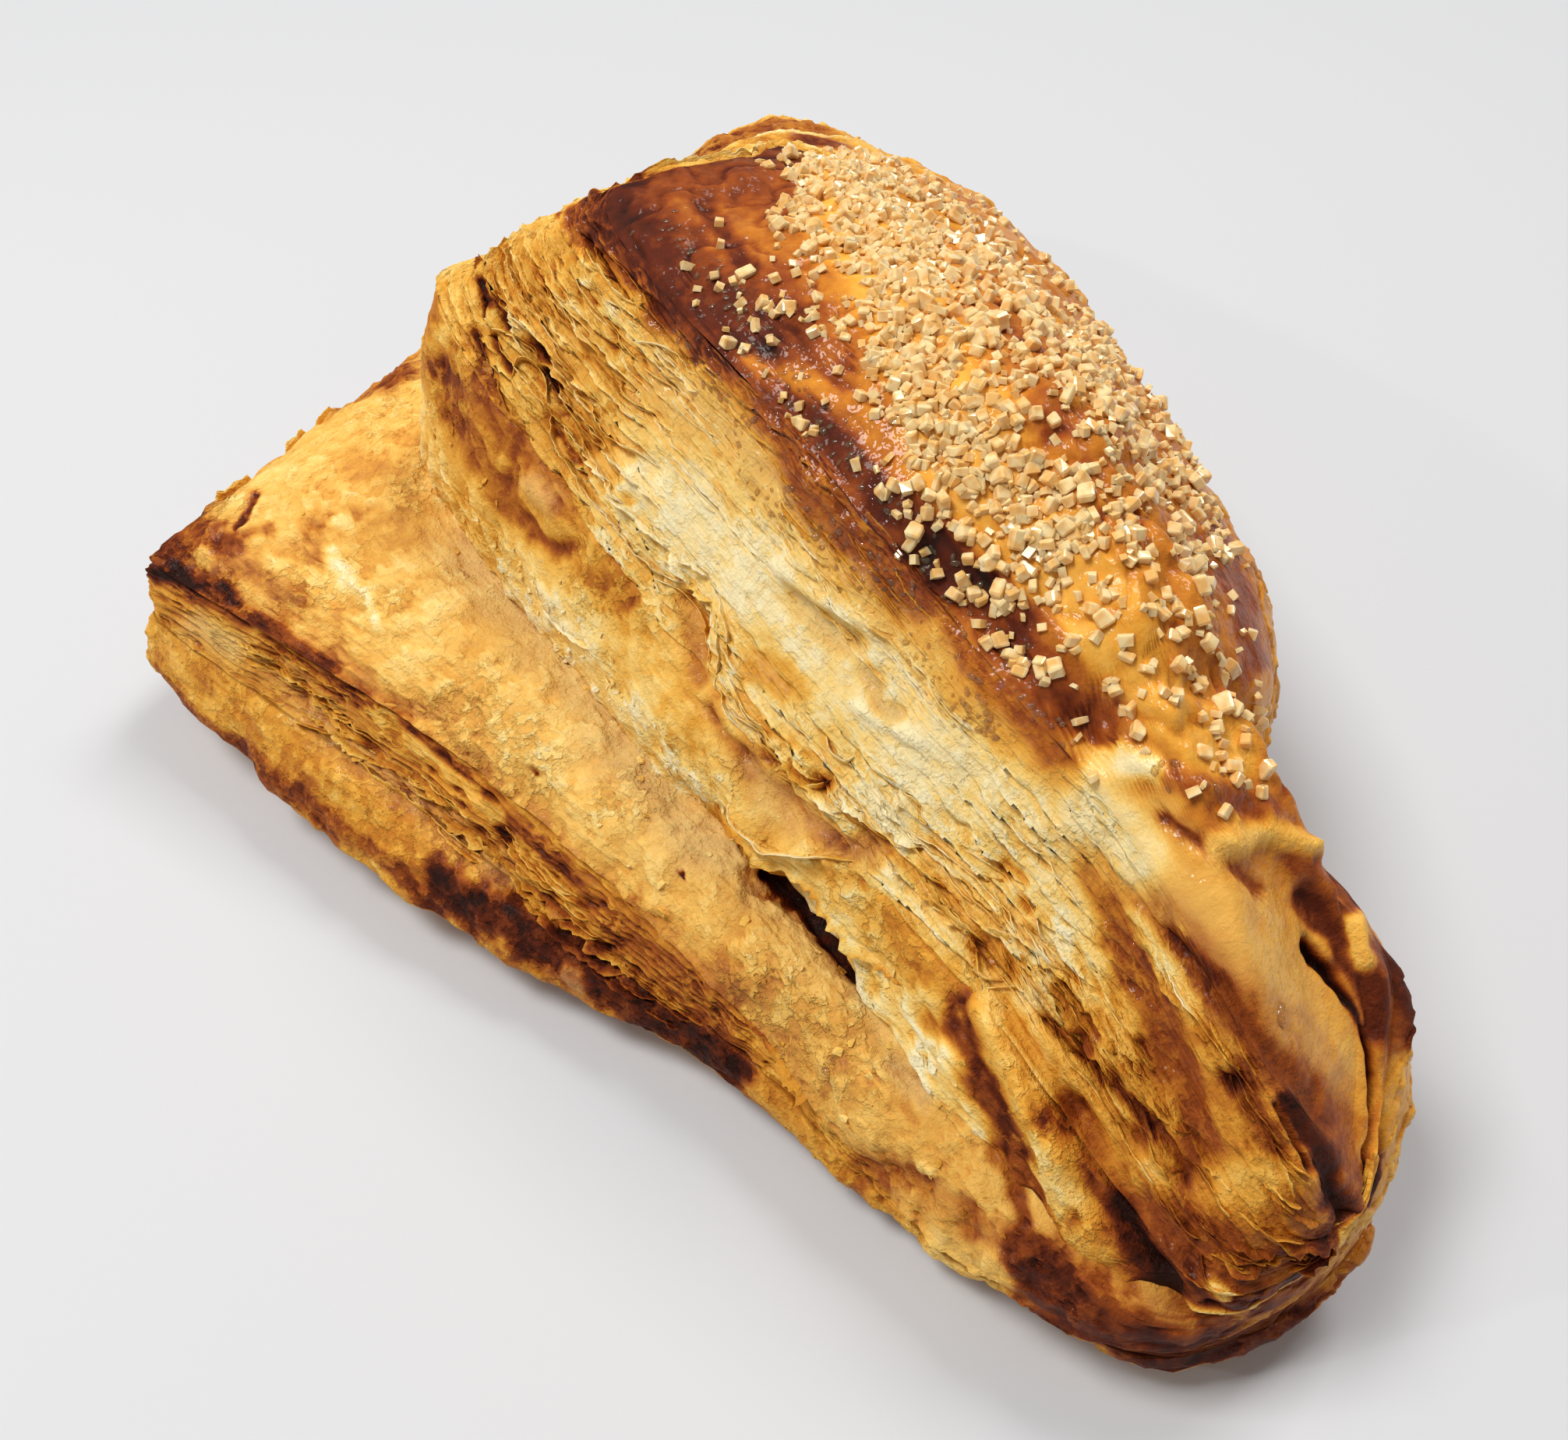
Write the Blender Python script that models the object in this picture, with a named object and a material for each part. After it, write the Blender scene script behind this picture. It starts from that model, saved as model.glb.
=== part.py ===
"""An apple turnover: a square of puff pastry folded over its filling, corner to corner, and baked.

The pastry is one solid. +Y runs along the fold, from the narrow front end to the wide back end,
-X points to the free corner of the triangle, +Z is up, and the flat underside rests on z = 0.

The crust is a loft. Five rails run round it like the stringers of a boat, and each row of STATIONS
is one rib, with the point where it meets each rail. Between two rails lies a band of crust: the
skin of the lower flap, its cut strip of layers, the ledge on top, the wall up to the lip of the
upper flap, the fan of opened layers, and the sugared dome. Flaky layers, bumps and creases are
relief in the loft, and the coarse sugar is fused to it.
"""
import math

import bmesh
import bpy
import numpy as np

MM = 0.001
NAME = "turnover"

# Sizes in millimetres.
FOOT_INSET = 9.0         # from the lower skin's edge to the flat that it rests on
STRIP_THICKNESS = 7.0    # cut strip of layers along the open edges of the lower flap
# How far each band of the crust bulges out, or in, between its rails.
PUFF = {"skin": 1.2, "ledge": 2.0, "wall": 1.5, "fan": -1.2}
DOME_RISE = 2.0          # crown of the dome over a straight line from its rim
DOME_ROUNDNESS = 0.6     # 0 is a cone, 1 has its top level
CROWN = (32.0, -32.0, 55.5)
LAYER_DEPTH = 1.5        # step from one flaky layer to the next
LAYER_WANDER = 0.15      # how far a layer strays up and down, as a share of its thickness
FULL_RELIEF = 9.0        # a band narrower than this has relief in proportion, so it can't fold over
BUMP_HEIGHT = 0.7        # blisters in the skins
BUMP_SIZE = 11.0
CRYSTALS = 92            # coarse sugar, the largest grains only
CRYSTAL_SIZE = (1.5, 2.4)
CRYSTAL_SINK = 0.35      # share of a grain that is buried in the glaze
CRYSTAL_SPACING = 4.0
CRYSTAL_FLOOR = 37.0     # none lies lower than this
SUGARED_FRONT = -50.0    # nor further forward than this

# How finely the crust is faced: ribs round it, and rows up each band.
RIBS = 96
BAND_ROWS = {"underside": 2, "foot": 1, "skin": 4, "strip": 5, "ledge": 6, "wall": 4, "fan": 11, "dome": 7}
LAYERS = {"strip": 2.5, "wall": 2.0, "fan": 5.5}

# One rib a row: how open its edge is (1 where the layers were cut, 0 round the fold), then the
# point (x, y, z) where it meets the lower skin's edge, the ledge's edge, the groove, the lip of
# the upper flap and the glazed ridge.
RAILS = ("skin_edge", "ledge_edge", "groove", "lip", "ridge")
STATIONS = {
    "nose": (0.5, (28, -86, 4), (26, -86, 9), (27, -85, 13), (28, -85, 17), (34, -77, 31)),
    "front_left": (0.9, (14, -72, 3), (13, -72, 7), (16, -68, 17), (19, -64, 25), (29, -61, 39)),
    "mid_left": (1.0, (1, -54, 4), (3, -53, 13), (8, -45, 19), (11, -48, 29), (23, -48, 45)),
    "near_tip": (1.0, (-26, -26, 6), (-17, -22, 18), (-4, -20, 22), (0, -19, 36), (15, -30, 52)),
    "tip": (0.8, (-49, 11, 7), (-45, 11, 21), (-15, 14, 25), (-11, 13, 46), (5, 5, 56)),
    "far_edge": (0.9, (-27, 37, 9), (-23, 30, 23), (-8, 26, 26), (-1, 15, 49), (13, 9, 57)),
    "back_left": (0.8, (8, 62, 8), (6, 61, 22), (14, 46, 27), (13, 22, 49), (20, 12, 56)),
    "back": (0.5, (40, 82, 10), (41, 80, 26), (37, 63, 33), (31, 37, 44), (27, 15, 54)),
    "back_right": (0.1, (54, 58, 8), (55, 59, 24), (51, 43, 34), (47, 27, 42), (39, 9, 49)),
    "fold_mid": (0.0, (57, 4, 7), (60, 6, 18), (60, 2, 28), (54, -16, 38), (45, -22, 46)),
    "fold_front": (0.0, (54, -34, 6), (57, -33, 17), (57, -34, 26), (51, -44, 34), (43, -48, 41)),
    "waist": (0.1, (47, -50, 6), (48, -51, 16), (49, -52, 24), (46, -53, 30), (41, -54, 36)),
    "lobe_right": (0.1, (50, -72, 8), (52, -72, 15), (51, -72, 21), (49, -70, 26), (45, -68, 31)),
    "nose_right": (0.2, (45, -82, 7), (45, -82, 11), (44, -82, 15), (43, -81, 18), (42, -79, 22)),
}

# Creases pressed or baked into the top: points (x, y), width and depth.
CREASES = {
    "slit beside the front lobe": ([(33, -57), (37, -60), (41, -66), (42, -73)], 2.0, 2.6),
    "pleat across the waist": ([(29, -54), (38, -53), (48, -52)], 2.2, 1.6),
    "tear under the lip": ([(7, -44), (12, -54), (16, -63)], 2.0, 1.8),
    "scar beside the ridge": ([(14, -21), (17, -34), (22, -43), (28, -54)], 1.8, 1.2),
}
CORNERS = {"tip": 0.85, "back": 0.3}     # how sharply the outline turns at a station, up to 1


def periodic_curve(points, knots, count, corners=()):
    """A smooth closed curve through points: cubic pieces that share their slope at each knot.

    The slope is cut down at the named corners, where the curve then turns sharply.
    """
    points = np.asarray(points, float)
    if points.ndim == 1:
        points = points[:, None]
    span = np.diff(np.append(knots, 1.0))[:, None]
    step = (np.roll(points, -1, 0) - points) / span
    before, span_before = np.roll(step, 1, 0), np.roll(span, 1, 0)
    slope = (before * span + step * span_before) / (span + span_before)
    slope *= 1 - np.array([CORNERS[name] if name in corners else 0.0 for name in STATIONS])[:, None]
    u = np.arange(count) / count
    i = np.searchsorted(knots, u, side="right") - 1
    j = (i + 1) % len(points)
    t = (u[:, None] - knots[i][:, None]) / span[i]
    return ((2 * t**3 - 3 * t**2 + 1) * points[i] + (t**3 - 2 * t**2 + t) * span[i] * slope[i]
            + (3 * t**2 - 2 * t**3) * points[j] + (t**3 - t**2) * span[i] * slope[j])


def station_knots():
    """Where each station falls on the way round, from 0 to 1; corners get a little extra length."""
    edge = np.array([row[2] for row in STATIONS.values()], float)
    length = np.linalg.norm(np.roll(edge, -1, 0) - edge, axis=1) ** 0.75
    return np.concatenate([[0.0], np.cumsum(length)[:-1]]) / length.sum()


def waves(points, size, seed):
    """Smooth bumps from -1 to 1, about size apart: sine waves in random directions, added up."""
    rng = np.random.default_rng(seed)
    total = np.zeros(points.shape[:-1])
    count = 7
    for _ in range(count):
        direction = rng.normal(size=3)
        direction *= rng.uniform(0.7, 1.4) * 2 * math.pi / (size * np.linalg.norm(direction))
        total += np.sin(points @ direction + rng.uniform(0, 2 * math.pi))
    return total / count * 1.6


def distance_to_path(x, y, path):
    """Plan distance from each point to the nearest straight piece of a path."""
    best = np.full(x.shape, np.inf)
    for (ax, ay), (bx, by) in zip(path, path[1:]):
        dx, dy = bx - ax, by - ay
        t = np.clip(((x - ax) * dx + (y - ay) * dy) / (dx * dx + dy * dy), 0, 1)
        best = np.minimum(best, np.hypot(x - ax - t * dx, y - ay - t * dy))
    return best


def pastry_rails():
    """The nine curves that the bands lie between, from the underside's centre to the crown."""
    knots = station_knots()
    rows = list(STATIONS.values())
    openness = periodic_curve([row[0] for row in rows], knots, RIBS)[:, 0].clip(0, 1)
    curve = {rail: periodic_curve([row[k + 1] for row in rows], knots, RIBS,
                                  CORNERS if rail in ("skin_edge", "ledge_edge") else ())
             for k, rail in enumerate(RAILS)}
    centre = np.array([CROWN[0], CROWN[1], 0.0])
    inward = centre - curve["skin_edge"]
    inward[:, 2] = 0
    foot = curve["skin_edge"] + inward * (FOOT_INSET / np.linalg.norm(inward, axis=1))[:, None]
    foot[:, 2] = 0
    down = curve["skin_edge"] - curve["ledge_edge"]
    drop = np.linalg.norm(down, axis=1)
    strip_foot = curve["ledge_edge"] + down * np.minimum(STRIP_THICKNESS / drop, 0.5)[:, None]
    under = np.broadcast_to(centre, foot.shape)
    crown = np.broadcast_to(np.array(CROWN), foot.shape)
    chain = [under, foot, curve["skin_edge"], strip_foot, curve["ledge_edge"], curve["groove"],
             curve["lip"], curve["ridge"], crown]
    return np.array(chain), openness


def loft(chain, openness):
    """Rows of points up the bands: straight between rails at an open edge, curved round the fold."""
    rows, bands, places = [], [], []
    last = len(chain) - 1
    for k, (band, count) in enumerate(BAND_ROWS.items()):
        a, b = chain[k], chain[k + 1]
        before, after = chain[max(k - 1, 1)], chain[min(k + 2, last)]
        for t in np.arange(count) / count:
            straight = a + (b - a) * t
            if band == "dome":
                straight[:, 2] += (b - a)[:, 2] * DOME_ROUNDNESS * (math.sin(math.pi / 2 * t) - t)
            curved = (a + (b - before) * t / 2 + (2 * before - 5 * a + 4 * b - after) * t**2 / 2
                      + (3 * a - before - 3 * b + after) * t**3 / 2)
            mix = openness[:, None] if k > 1 and band != "dome" else 1.0
            rows.append(mix * straight + (1 - mix) * curved)
            bands.append(band)
            places.append(t)
    return np.array(rows), bands, np.array(places)


def outward(grid, bands, places):
    """Unit normal at each point of a grid whose columns close on themselves; straight up on the dome."""
    round_it = np.roll(grid, -1, 1) - np.roll(grid, 1, 1)
    up_it = np.gradient(grid, axis=0)
    normal = np.cross(up_it, round_it)
    normal /= np.maximum(np.linalg.norm(normal, axis=2, keepdims=True), 1e-9)
    normal[[band == "dome" and t > 0 for band, t in zip(bands, places)]] = (0, 0, 1)
    return normal


def relief(grid, bands, places, chain, openness):
    """How far each point of the crust stands out: puffed bands, flaky layers, bumps, creases."""
    height = np.zeros(grid.shape[:2])
    width = dict(zip(BAND_ROWS, np.linalg.norm(np.diff(chain, axis=0), axis=2)))
    uneven = waves(grid, 16.0, 3)
    bumps = waves(grid, BUMP_SIZE, 5) + 0.5 * waves(grid, BUMP_SIZE / 2, 6)
    for row, (band, t) in enumerate(zip(bands, places)):
        if band in ("underside", "foot"):
            continue
        swell = math.sin(math.pi * t)
        height[row] += PUFF.get(band, 0.0) * swell * openness
        if band in LAYERS:
            wander = LAYER_WANDER * uneven[row]
            step = np.abs(2 * ((LAYERS[band] * t + wander) % 1.0) - 1)
            height[row] += LAYER_DEPTH * (step - 0.5) * (0.25 + 0.75 * openness) * (1 + 2 * wander)
        height[row] += BUMP_HEIGHT * bumps[row] * (1.0 if band in ("ledge", "dome") else 0.5)
        if band == "dome":
            height[row] += DOME_RISE * math.sin(math.pi / 2 * t)
        height[row] *= np.minimum(width[band] / FULL_RELIEF, 1.0)
    top = np.array([band in ("ledge", "wall", "fan", "dome") for band in bands])
    for path, reach, depth in CREASES.values():
        away = distance_to_path(grid[..., 0], grid[..., 1], path)
        height -= depth * np.exp(-(away / reach) ** 2) * top[:, None]
    return height


def crust_surface():
    """The finished grid of points in millimetres, with its band names, normals and openness."""
    chain, openness = pastry_rails()
    grid, bands, places = loft(chain, openness)
    height = relief(grid, bands, places, chain, openness)
    grid = grid + outward(grid, bands, places) * height[..., None]
    return grid[1:], bands[1:], outward(grid, bands, places)[1:], openness


def crust_mesh(grid):
    """One closed mesh: a strip of quads between each two rows, and a fan of triangles at each pole."""
    rows, columns = grid.shape[:2]
    centre = np.array([CROWN[0], CROWN[1], 0.0])
    crown = np.array([CROWN[0], CROWN[1], CROWN[2] + DOME_RISE])
    points = np.concatenate([grid.reshape(-1, 3), [centre, crown]]) * MM
    j = np.arange(columns)
    k = (j + 1) % columns
    faces = []
    for row in range(rows - 1):
        low, high = row * columns, (row + 1) * columns
        faces += np.stack([low + j, low + k, high + k, high + j], 1).tolist()
    bottom, top = rows * columns, rows * columns + 1
    high = (rows - 1) * columns
    faces += [[bottom, int(b), int(a)] for a, b in zip(j, k)]
    faces += [[top, int(high + a), int(high + b)] for a, b in zip(j, k)]
    mesh = bpy.data.meshes.new(NAME)
    mesh.from_pydata(points.tolist(), [], faces)
    shaped = bmesh.new()
    shaped.from_mesh(mesh)
    bmesh.ops.recalc_face_normals(shaped, faces=shaped.faces)
    bmesh.ops.triangulate(shaped, faces=shaped.faces)
    shaped.to_mesh(mesh)
    shaped.free()
    return mesh


def sugar_places(grid, bands, normals, openness, rng):
    """Grains over the dome and the top of the fold: thick along the crest, thinner down the fold."""
    rows = [r for r, band in enumerate(bands[:-1]) if band in ("fan", "dome")]
    spots = []
    while len(spots) < CRYSTALS:
        row, column = rng.choice(rows), rng.integers(RIBS)
        after, along, across = (column + 1) % RIBS, rng.uniform(), rng.uniform()
        near = grid[row, column] * (1 - along) + grid[row, after] * along
        far = grid[row + 1, column] * (1 - along) + grid[row + 1, after] * along
        place = near * (1 - across) + far * across
        on_fold = bands[row] == "fan"
        if place[1] < SUGARED_FRONT or place[2] < CRYSTAL_FLOOR or (on_fold and openness[column] > 0.2):
            continue
        if rng.uniform() < (0.7 if on_fold else 0.1):
            continue
        if all(np.linalg.norm(place - other) > CRYSTAL_SPACING for other, _ in spots):
            spots.append((place, normals[row, column]))
    return spots


def sugar_crystal(place, normal, rng):
    """A cube of sugar with uneven sides and nudged corners, lying at its own angle in the glaze."""
    size = rng.uniform(*CRYSTAL_SIZE)
    bpy.ops.mesh.primitive_cube_add(size=1.0)
    grain = bpy.context.object
    side = size * rng.uniform(0.8, 1.2, 3) * np.array([1.0, 0.9, 0.8])
    corners = np.array([corner.co[:] for corner in grain.data.vertices]) * side
    corners += rng.uniform(-0.12, 0.12, corners.shape) * size
    grain.data.vertices.foreach_set("co", (corners * MM).ravel())
    grain.rotation_euler = rng.uniform(-0.5, 0.5, 3) + np.array([0, 0, rng.uniform(0, math.pi)])
    grain.location = (place + normal * size * (0.5 - CRYSTAL_SINK)) * MM
    return grain


def crust_material():
    """Baked egg-washed puff pastry: golden brown, with a soft shine."""
    material = bpy.data.materials.new("golden_crust")
    material.use_nodes = True
    shader = material.node_tree.nodes["Principled BSDF"]
    shader.inputs["Base Color"].default_value = (0.56, 0.27, 0.075, 1.0)
    shader.inputs["Roughness"].default_value = 0.45
    shader.inputs["Metallic"].default_value = 0.0
    return material


def fuse(body, grains):
    """Join the grains to the crust with one union, apply it, and clear the grains away."""
    union = body.modifiers.new("fuse sugar", "BOOLEAN")
    union.operation = "UNION"
    union.operand_type = "COLLECTION"
    union.collection = grains
    union.solver = "EXACT"
    bpy.context.view_layer.objects.active = body
    bpy.ops.object.modifier_apply(modifier=union.name)
    for grain in list(grains.objects):
        bpy.data.objects.remove(grain)
    bpy.data.collections.remove(grains)


def drop_scraps(mesh):
    """Keep the largest connected piece: a grain that missed the crust would hang in the air."""
    shaped = bmesh.new()
    shaped.from_mesh(mesh)
    pieces, unseen = [], set(shaped.verts)
    while unseen:
        piece, front = set(), [next(iter(unseen))]
        while front:
            corner = front.pop()
            if corner in piece:
                continue
            piece.add(corner)
            front += [edge.other_vert(corner) for edge in corner.link_edges]
        pieces.append(piece)
        unseen -= piece
    scraps = [corner for piece in sorted(pieces, key=len)[:-1] for corner in piece]
    bmesh.ops.delete(shaped, geom=scraps, context="VERTS")
    shaped.to_mesh(mesh)
    shaped.free()


def rest_on_origin(mesh):
    """Move the mesh so that its box stands on z = 0 with its bottom's centre at the origin."""
    points = np.empty(len(mesh.vertices) * 3, np.float32)
    mesh.vertices.foreach_get("co", points)
    points = points.reshape(-1, 3)
    low, high = points.min(0), points.max(0)
    points -= [(low[0] + high[0]) / 2, (low[1] + high[1]) / 2, low[2]]
    mesh.vertices.foreach_set("co", points.ravel())
    mesh.update()


def main():
    for old in list(bpy.data.objects):
        bpy.data.objects.remove(old)
    parts = bpy.data.collections.new("apple_turnover")
    grains = bpy.data.collections.new("sugar")
    bpy.context.scene.collection.children.link(parts)
    bpy.context.scene.collection.children.link(grains)

    grid, bands, normals, openness = crust_surface()
    body = bpy.data.objects.new(NAME, crust_mesh(grid))
    parts.objects.link(body)
    body.data.materials.append(crust_material())

    rng = np.random.default_rng(15)
    for place, normal in sugar_places(grid, bands, normals, openness, rng):
        grain = sugar_crystal(place, normal, rng)
        for holder in list(grain.users_collection):
            holder.objects.unlink(grain)
        grains.objects.link(grain)
    fuse(body, grains)
    drop_scraps(body.data)
    rest_on_origin(body.data)


main()
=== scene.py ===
"""An apple turnover of puff pastry: golden layers, a glazed back strewn with coarse sugar.

The crust is a loft over the same rails as the solid model. Relief and browning are fields worked
out over its grid, and loose leaves of pastry, crumbs, sugar and beads of syrup lie on it. Lengths
are in millimetres until they reach a mesh, and in formulas t runs from 0 to 1 up each band.
"""
import itertools
import math
from functools import partial
from types import SimpleNamespace

import bpy
import numpy as np
from bpy.props import FloatProperty, FloatVectorProperty, IntProperty, PointerProperty
from mathutils import Matrix, Vector


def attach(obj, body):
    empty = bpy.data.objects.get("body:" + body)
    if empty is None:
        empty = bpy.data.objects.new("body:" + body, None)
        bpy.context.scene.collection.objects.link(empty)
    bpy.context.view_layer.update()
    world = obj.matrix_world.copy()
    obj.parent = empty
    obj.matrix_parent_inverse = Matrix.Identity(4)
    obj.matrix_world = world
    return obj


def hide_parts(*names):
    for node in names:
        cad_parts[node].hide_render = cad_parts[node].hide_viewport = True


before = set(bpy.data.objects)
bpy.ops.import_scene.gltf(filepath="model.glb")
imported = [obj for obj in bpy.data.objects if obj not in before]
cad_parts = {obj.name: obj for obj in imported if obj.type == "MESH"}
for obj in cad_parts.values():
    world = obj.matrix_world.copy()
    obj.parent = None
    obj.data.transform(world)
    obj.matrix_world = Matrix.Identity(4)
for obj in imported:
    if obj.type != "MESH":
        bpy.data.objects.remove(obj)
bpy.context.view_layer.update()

bl_info = {
    "name": "Apple turnover",
    "version": (1, 0, 0),
    "blender": (4, 5, 0),
    "location": "3D View > Sidebar > Turnover",
    "description": "Builds a baked apple turnover with flaky layers, glaze and coarse sugar",
    "category": "Add Mesh",
}

MM = 0.001
NODE = "turnover"
BODY = "root"

# The rails below were set out in a frame of their own, and TO_BASE_CENTRE moves them so that the
# bottom centre of the turnover's box is the origin, as in the solid model.
TO_BASE_CENTRE = np.array([-6.082, 2.231, 0.0])

# The photograph: its size and focal length in pixels, and where the camera stood.
PHOTO_SIZE = (2012, 1848)
FOCAL_PIXELS = 1850.0
CAMERA_PLACE = np.array([-11.0, -116.0, 120.0]) + TO_BASE_CENTRE
CAMERA_AZIMUTH = -15.0
CAMERA_PITCH = 47.3
SENSOR = 36.0

# The loft, as in the solid model: how far the foot stands in, how thick the cut strip is, how much
# each band puffs up, the dome's rise, and the crown. Each station gives how open the fold is there,
# from 0 to 1, and a point of each rail. A corner is how much of the rail's slope is cut down there,
# and each crease is a path seen from above, its reach and its depth.
FOOT_INSET = 9.0
STRIP_THICKNESS = 7.0
PUFF = {"skin": 1.2, "ledge": 2.0, "wall": 1.5, "fan": -1.2}
DOME_RISE = 2.0
DOME_ROUNDNESS = 0.6
CROWN = (32.0, -32.0, 55.5)
CROWN_PLACE = np.array(CROWN) + TO_BASE_CENTRE
FULL_RELIEF = 9.0  # a band at least this wide swells in full
FULL_HOLLOW = 0.35  # a hollow this deep gets its full painted shade and browning
BANDS = ("underside", "foot", "skin", "strip", "ledge", "wall", "fan", "dome")
RAILS = ("skin_edge", "ledge_edge", "groove", "lip", "ridge")
STATIONS = {
    "nose": (0.5, (28, -86, 4), (26, -86, 9), (27, -85, 13), (28, -85, 17), (34, -77, 31)),
    "front_left": (0.9, (14, -72, 3), (13, -72, 7), (16, -68, 17), (19, -64, 25), (29, -61, 39)),
    "mid_left": (1.0, (1, -54, 4), (3, -53, 13), (8, -45, 19), (11, -48, 29), (23, -48, 45)),
    "near_tip": (1.0, (-26, -26, 6), (-17, -22, 18), (-4, -20, 22), (0, -19, 36), (15, -30, 52)),
    "tip": (0.8, (-49, 11, 7), (-45, 11, 21), (-15, 14, 25), (-11, 13, 46), (5, 5, 56)),
    "far_edge": (0.9, (-27, 37, 9), (-23, 30, 23), (-8, 26, 26), (-1, 15, 49), (13, 9, 57)),
    "back_left": (0.8, (8, 62, 8), (6, 61, 22), (14, 46, 27), (13, 22, 49), (20, 12, 56)),
    "back": (0.5, (40, 82, 10), (41, 80, 26), (37, 63, 33), (31, 37, 44), (27, 15, 54)),
    "back_right": (0.1, (54, 58, 8), (55, 59, 24), (51, 43, 34), (47, 27, 42), (39, 9, 49)),
    "fold_mid": (0.0, (57, 4, 7), (60, 6, 18), (60, 2, 28), (54, -16, 38), (45, -22, 46)),
    "fold_front": (0.0, (54, -34, 6), (57, -33, 17), (57, -34, 26), (51, -44, 34), (43, -48, 41)),
    "waist": (0.1, (47, -50, 6), (48, -51, 16), (49, -52, 24), (46, -53, 30), (41, -54, 36)),
    "lobe_right": (0.1, (50, -72, 8), (52, -72, 15), (51, -72, 21), (49, -70, 26), (45, -68, 31)),
    "nose_right": (0.2, (45, -82, 7), (45, -82, 11), (44, -82, 15), (43, -81, 18), (42, -79, 22)),
}
CORNERS = {"tip": 0.85, "back": 0.3}
CREASES = {
    "pleat across the waist": ([(29, -54), (38, -53), (48, -52)], 1.7, 1.5),
    "tear under the lip": ([(7, -44), (12, -54), (16, -63)], 1.5, 1.6),
    "scar beside the ridge": ([(14, -21), (17, -34), (22, -43), (28, -54)], 1.6, 1.0),
}
# How many columns each station's share of the way round takes: more where more detail shows.
FINENESS = (1.0, 1.0, 1.0, 1.0, 0.95, 0.7, 0.5, 0.45, 0.35, 0.35, 0.4, 0.6, 0.7, 0.9)
SEAM_STATION = "fold_mid"

# What a point of the crust knows of its look: how browned it is, with painted shade in hollows and gaps
# and painted light on crests held in the same value, how thick the egg wash lies on it, and how much
# it is cut into strands, damp and unbaked, or flaked.
FIELDS = ("bake", "glaze", "fibre", "raw", "flaky")

# A loose leaf's points stand this far apart along it. Across, it is this thick at each level, which
# are shares of its height, and it is rooted this deep.
LEAF_SPACING = 0.32
LEAF_LEVELS = np.array([0.0, 0.4, 0.75, 1.0])
LEAF_THICKNESS = np.array([0.34, 0.24, 0.15, 0.06])
LEAF_ROOT = 0.45

# The least gap between two grains of a kind, and the edges that large sugar grains have cut off.
GRAIN_GAP = {"crumbs": 0.4, "sugar": 0.36, "beads": 0.4}
CHAMFER = 0.26
CHAMFER_FROM = 0.45


def linear(code):
    """An sRGB hex colour as linear red, green and blue with a full alpha."""
    parts = [int(code[i:i + 2], 16) / 255 for i in (1, 3, 5)]
    return tuple(p / 12.92 if p <= 0.04045 else ((p + 0.055) / 1.055) ** 2.4 for p in parts) + (1.0,)


def unit(vectors):
    """The vectors at length 1, each divided by its own length."""
    return vectors / np.maximum(np.linalg.norm(vectors, axis=-1, keepdims=True), 1e-9)


# ---------------------------------------------------------------- noise, as whole arrays

def hashed(cell, seed):
    """A repeatable random value from 0 to 1 for each whole-numbered cube."""
    mixed = (cell[..., 0] * 73856093) ^ (cell[..., 1] * 19349663) ^ (cell[..., 2] * 83492791)
    mixed = (mixed + seed * 40503 + 12345) & 0xFFFFFFFF
    mixed = ((mixed ^ (mixed >> 15)) * 739982445) & 0xFFFFFFFF
    mixed = ((mixed ^ (mixed >> 12)) * 695872825) & 0xFFFFFFFF
    return ((mixed ^ (mixed >> 15)) & 0xFFFF) / 65535.0


def noise(points, size, seed):
    """Smooth noise from -1 to 1: random values at the corners of cubes of that size, blended."""
    spot = np.asarray(points, float) / size + 0.37 * seed
    cell = np.floor(spot)
    part = spot - cell
    part = part**3 * (part * (part * 6 - 15) + 10)
    cell = cell.astype(np.int64)
    total = np.zeros(spot.shape[:-1])
    for corner in itertools.product((0, 1), repeat=3):
        share = np.where(np.array(corner, bool), part, 1 - part).prod(-1)
        total += share * hashed(cell + np.array(corner), seed)
    return 2 * total - 1


def rough(points, size, seed, octaves=3):
    """Noise with finer, fainter noise on it: each octave has half the size and height of the last."""
    return sum(noise(points, size / 2**k, seed + 31 * k) / 2**k for k in range(octaves)) / 1.5


def strewn(points, size, seed):
    """How near each point is to the closest of random points strewn one to a cube, in cube sides."""
    spot = np.asarray(points, float) / size
    cell = np.floor(spot).astype(np.int64)
    nearest = np.full(spot.shape[:-1], 9.0)
    for step in itertools.product((-1, 0, 1), repeat=3):
        near = cell + np.array(step)
        centre = near + np.stack([hashed(near, seed + k) for k in (0, 101, 202)], -1)
        nearest = np.minimum(nearest, np.linalg.norm(spot - centre, axis=-1))
    return nearest


def ease(value, start, end):
    """0 up to start, 1 from end on, and a smooth S between: 3 t squared less 2 t cubed."""
    t = np.clip((value - start) / (end - start), 0, 1)
    return t * t * (3 - 2 * t)


def soften(field, times):
    """The field averaged with its four neighbours, several times over; columns close on themselves."""
    for _ in range(times):
        up = np.concatenate([field[:1], field[:-1]])
        down = np.concatenate([field[1:], field[-1:]])
        field = (field * 2 + up + down + np.roll(field, 1, 1) + np.roll(field, -1, 1)) / 6
    return field


# ---------------------------------------------------------------- the loft

crusts = {}  # each crust's patch and raised grid, kept for what lies on it


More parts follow.
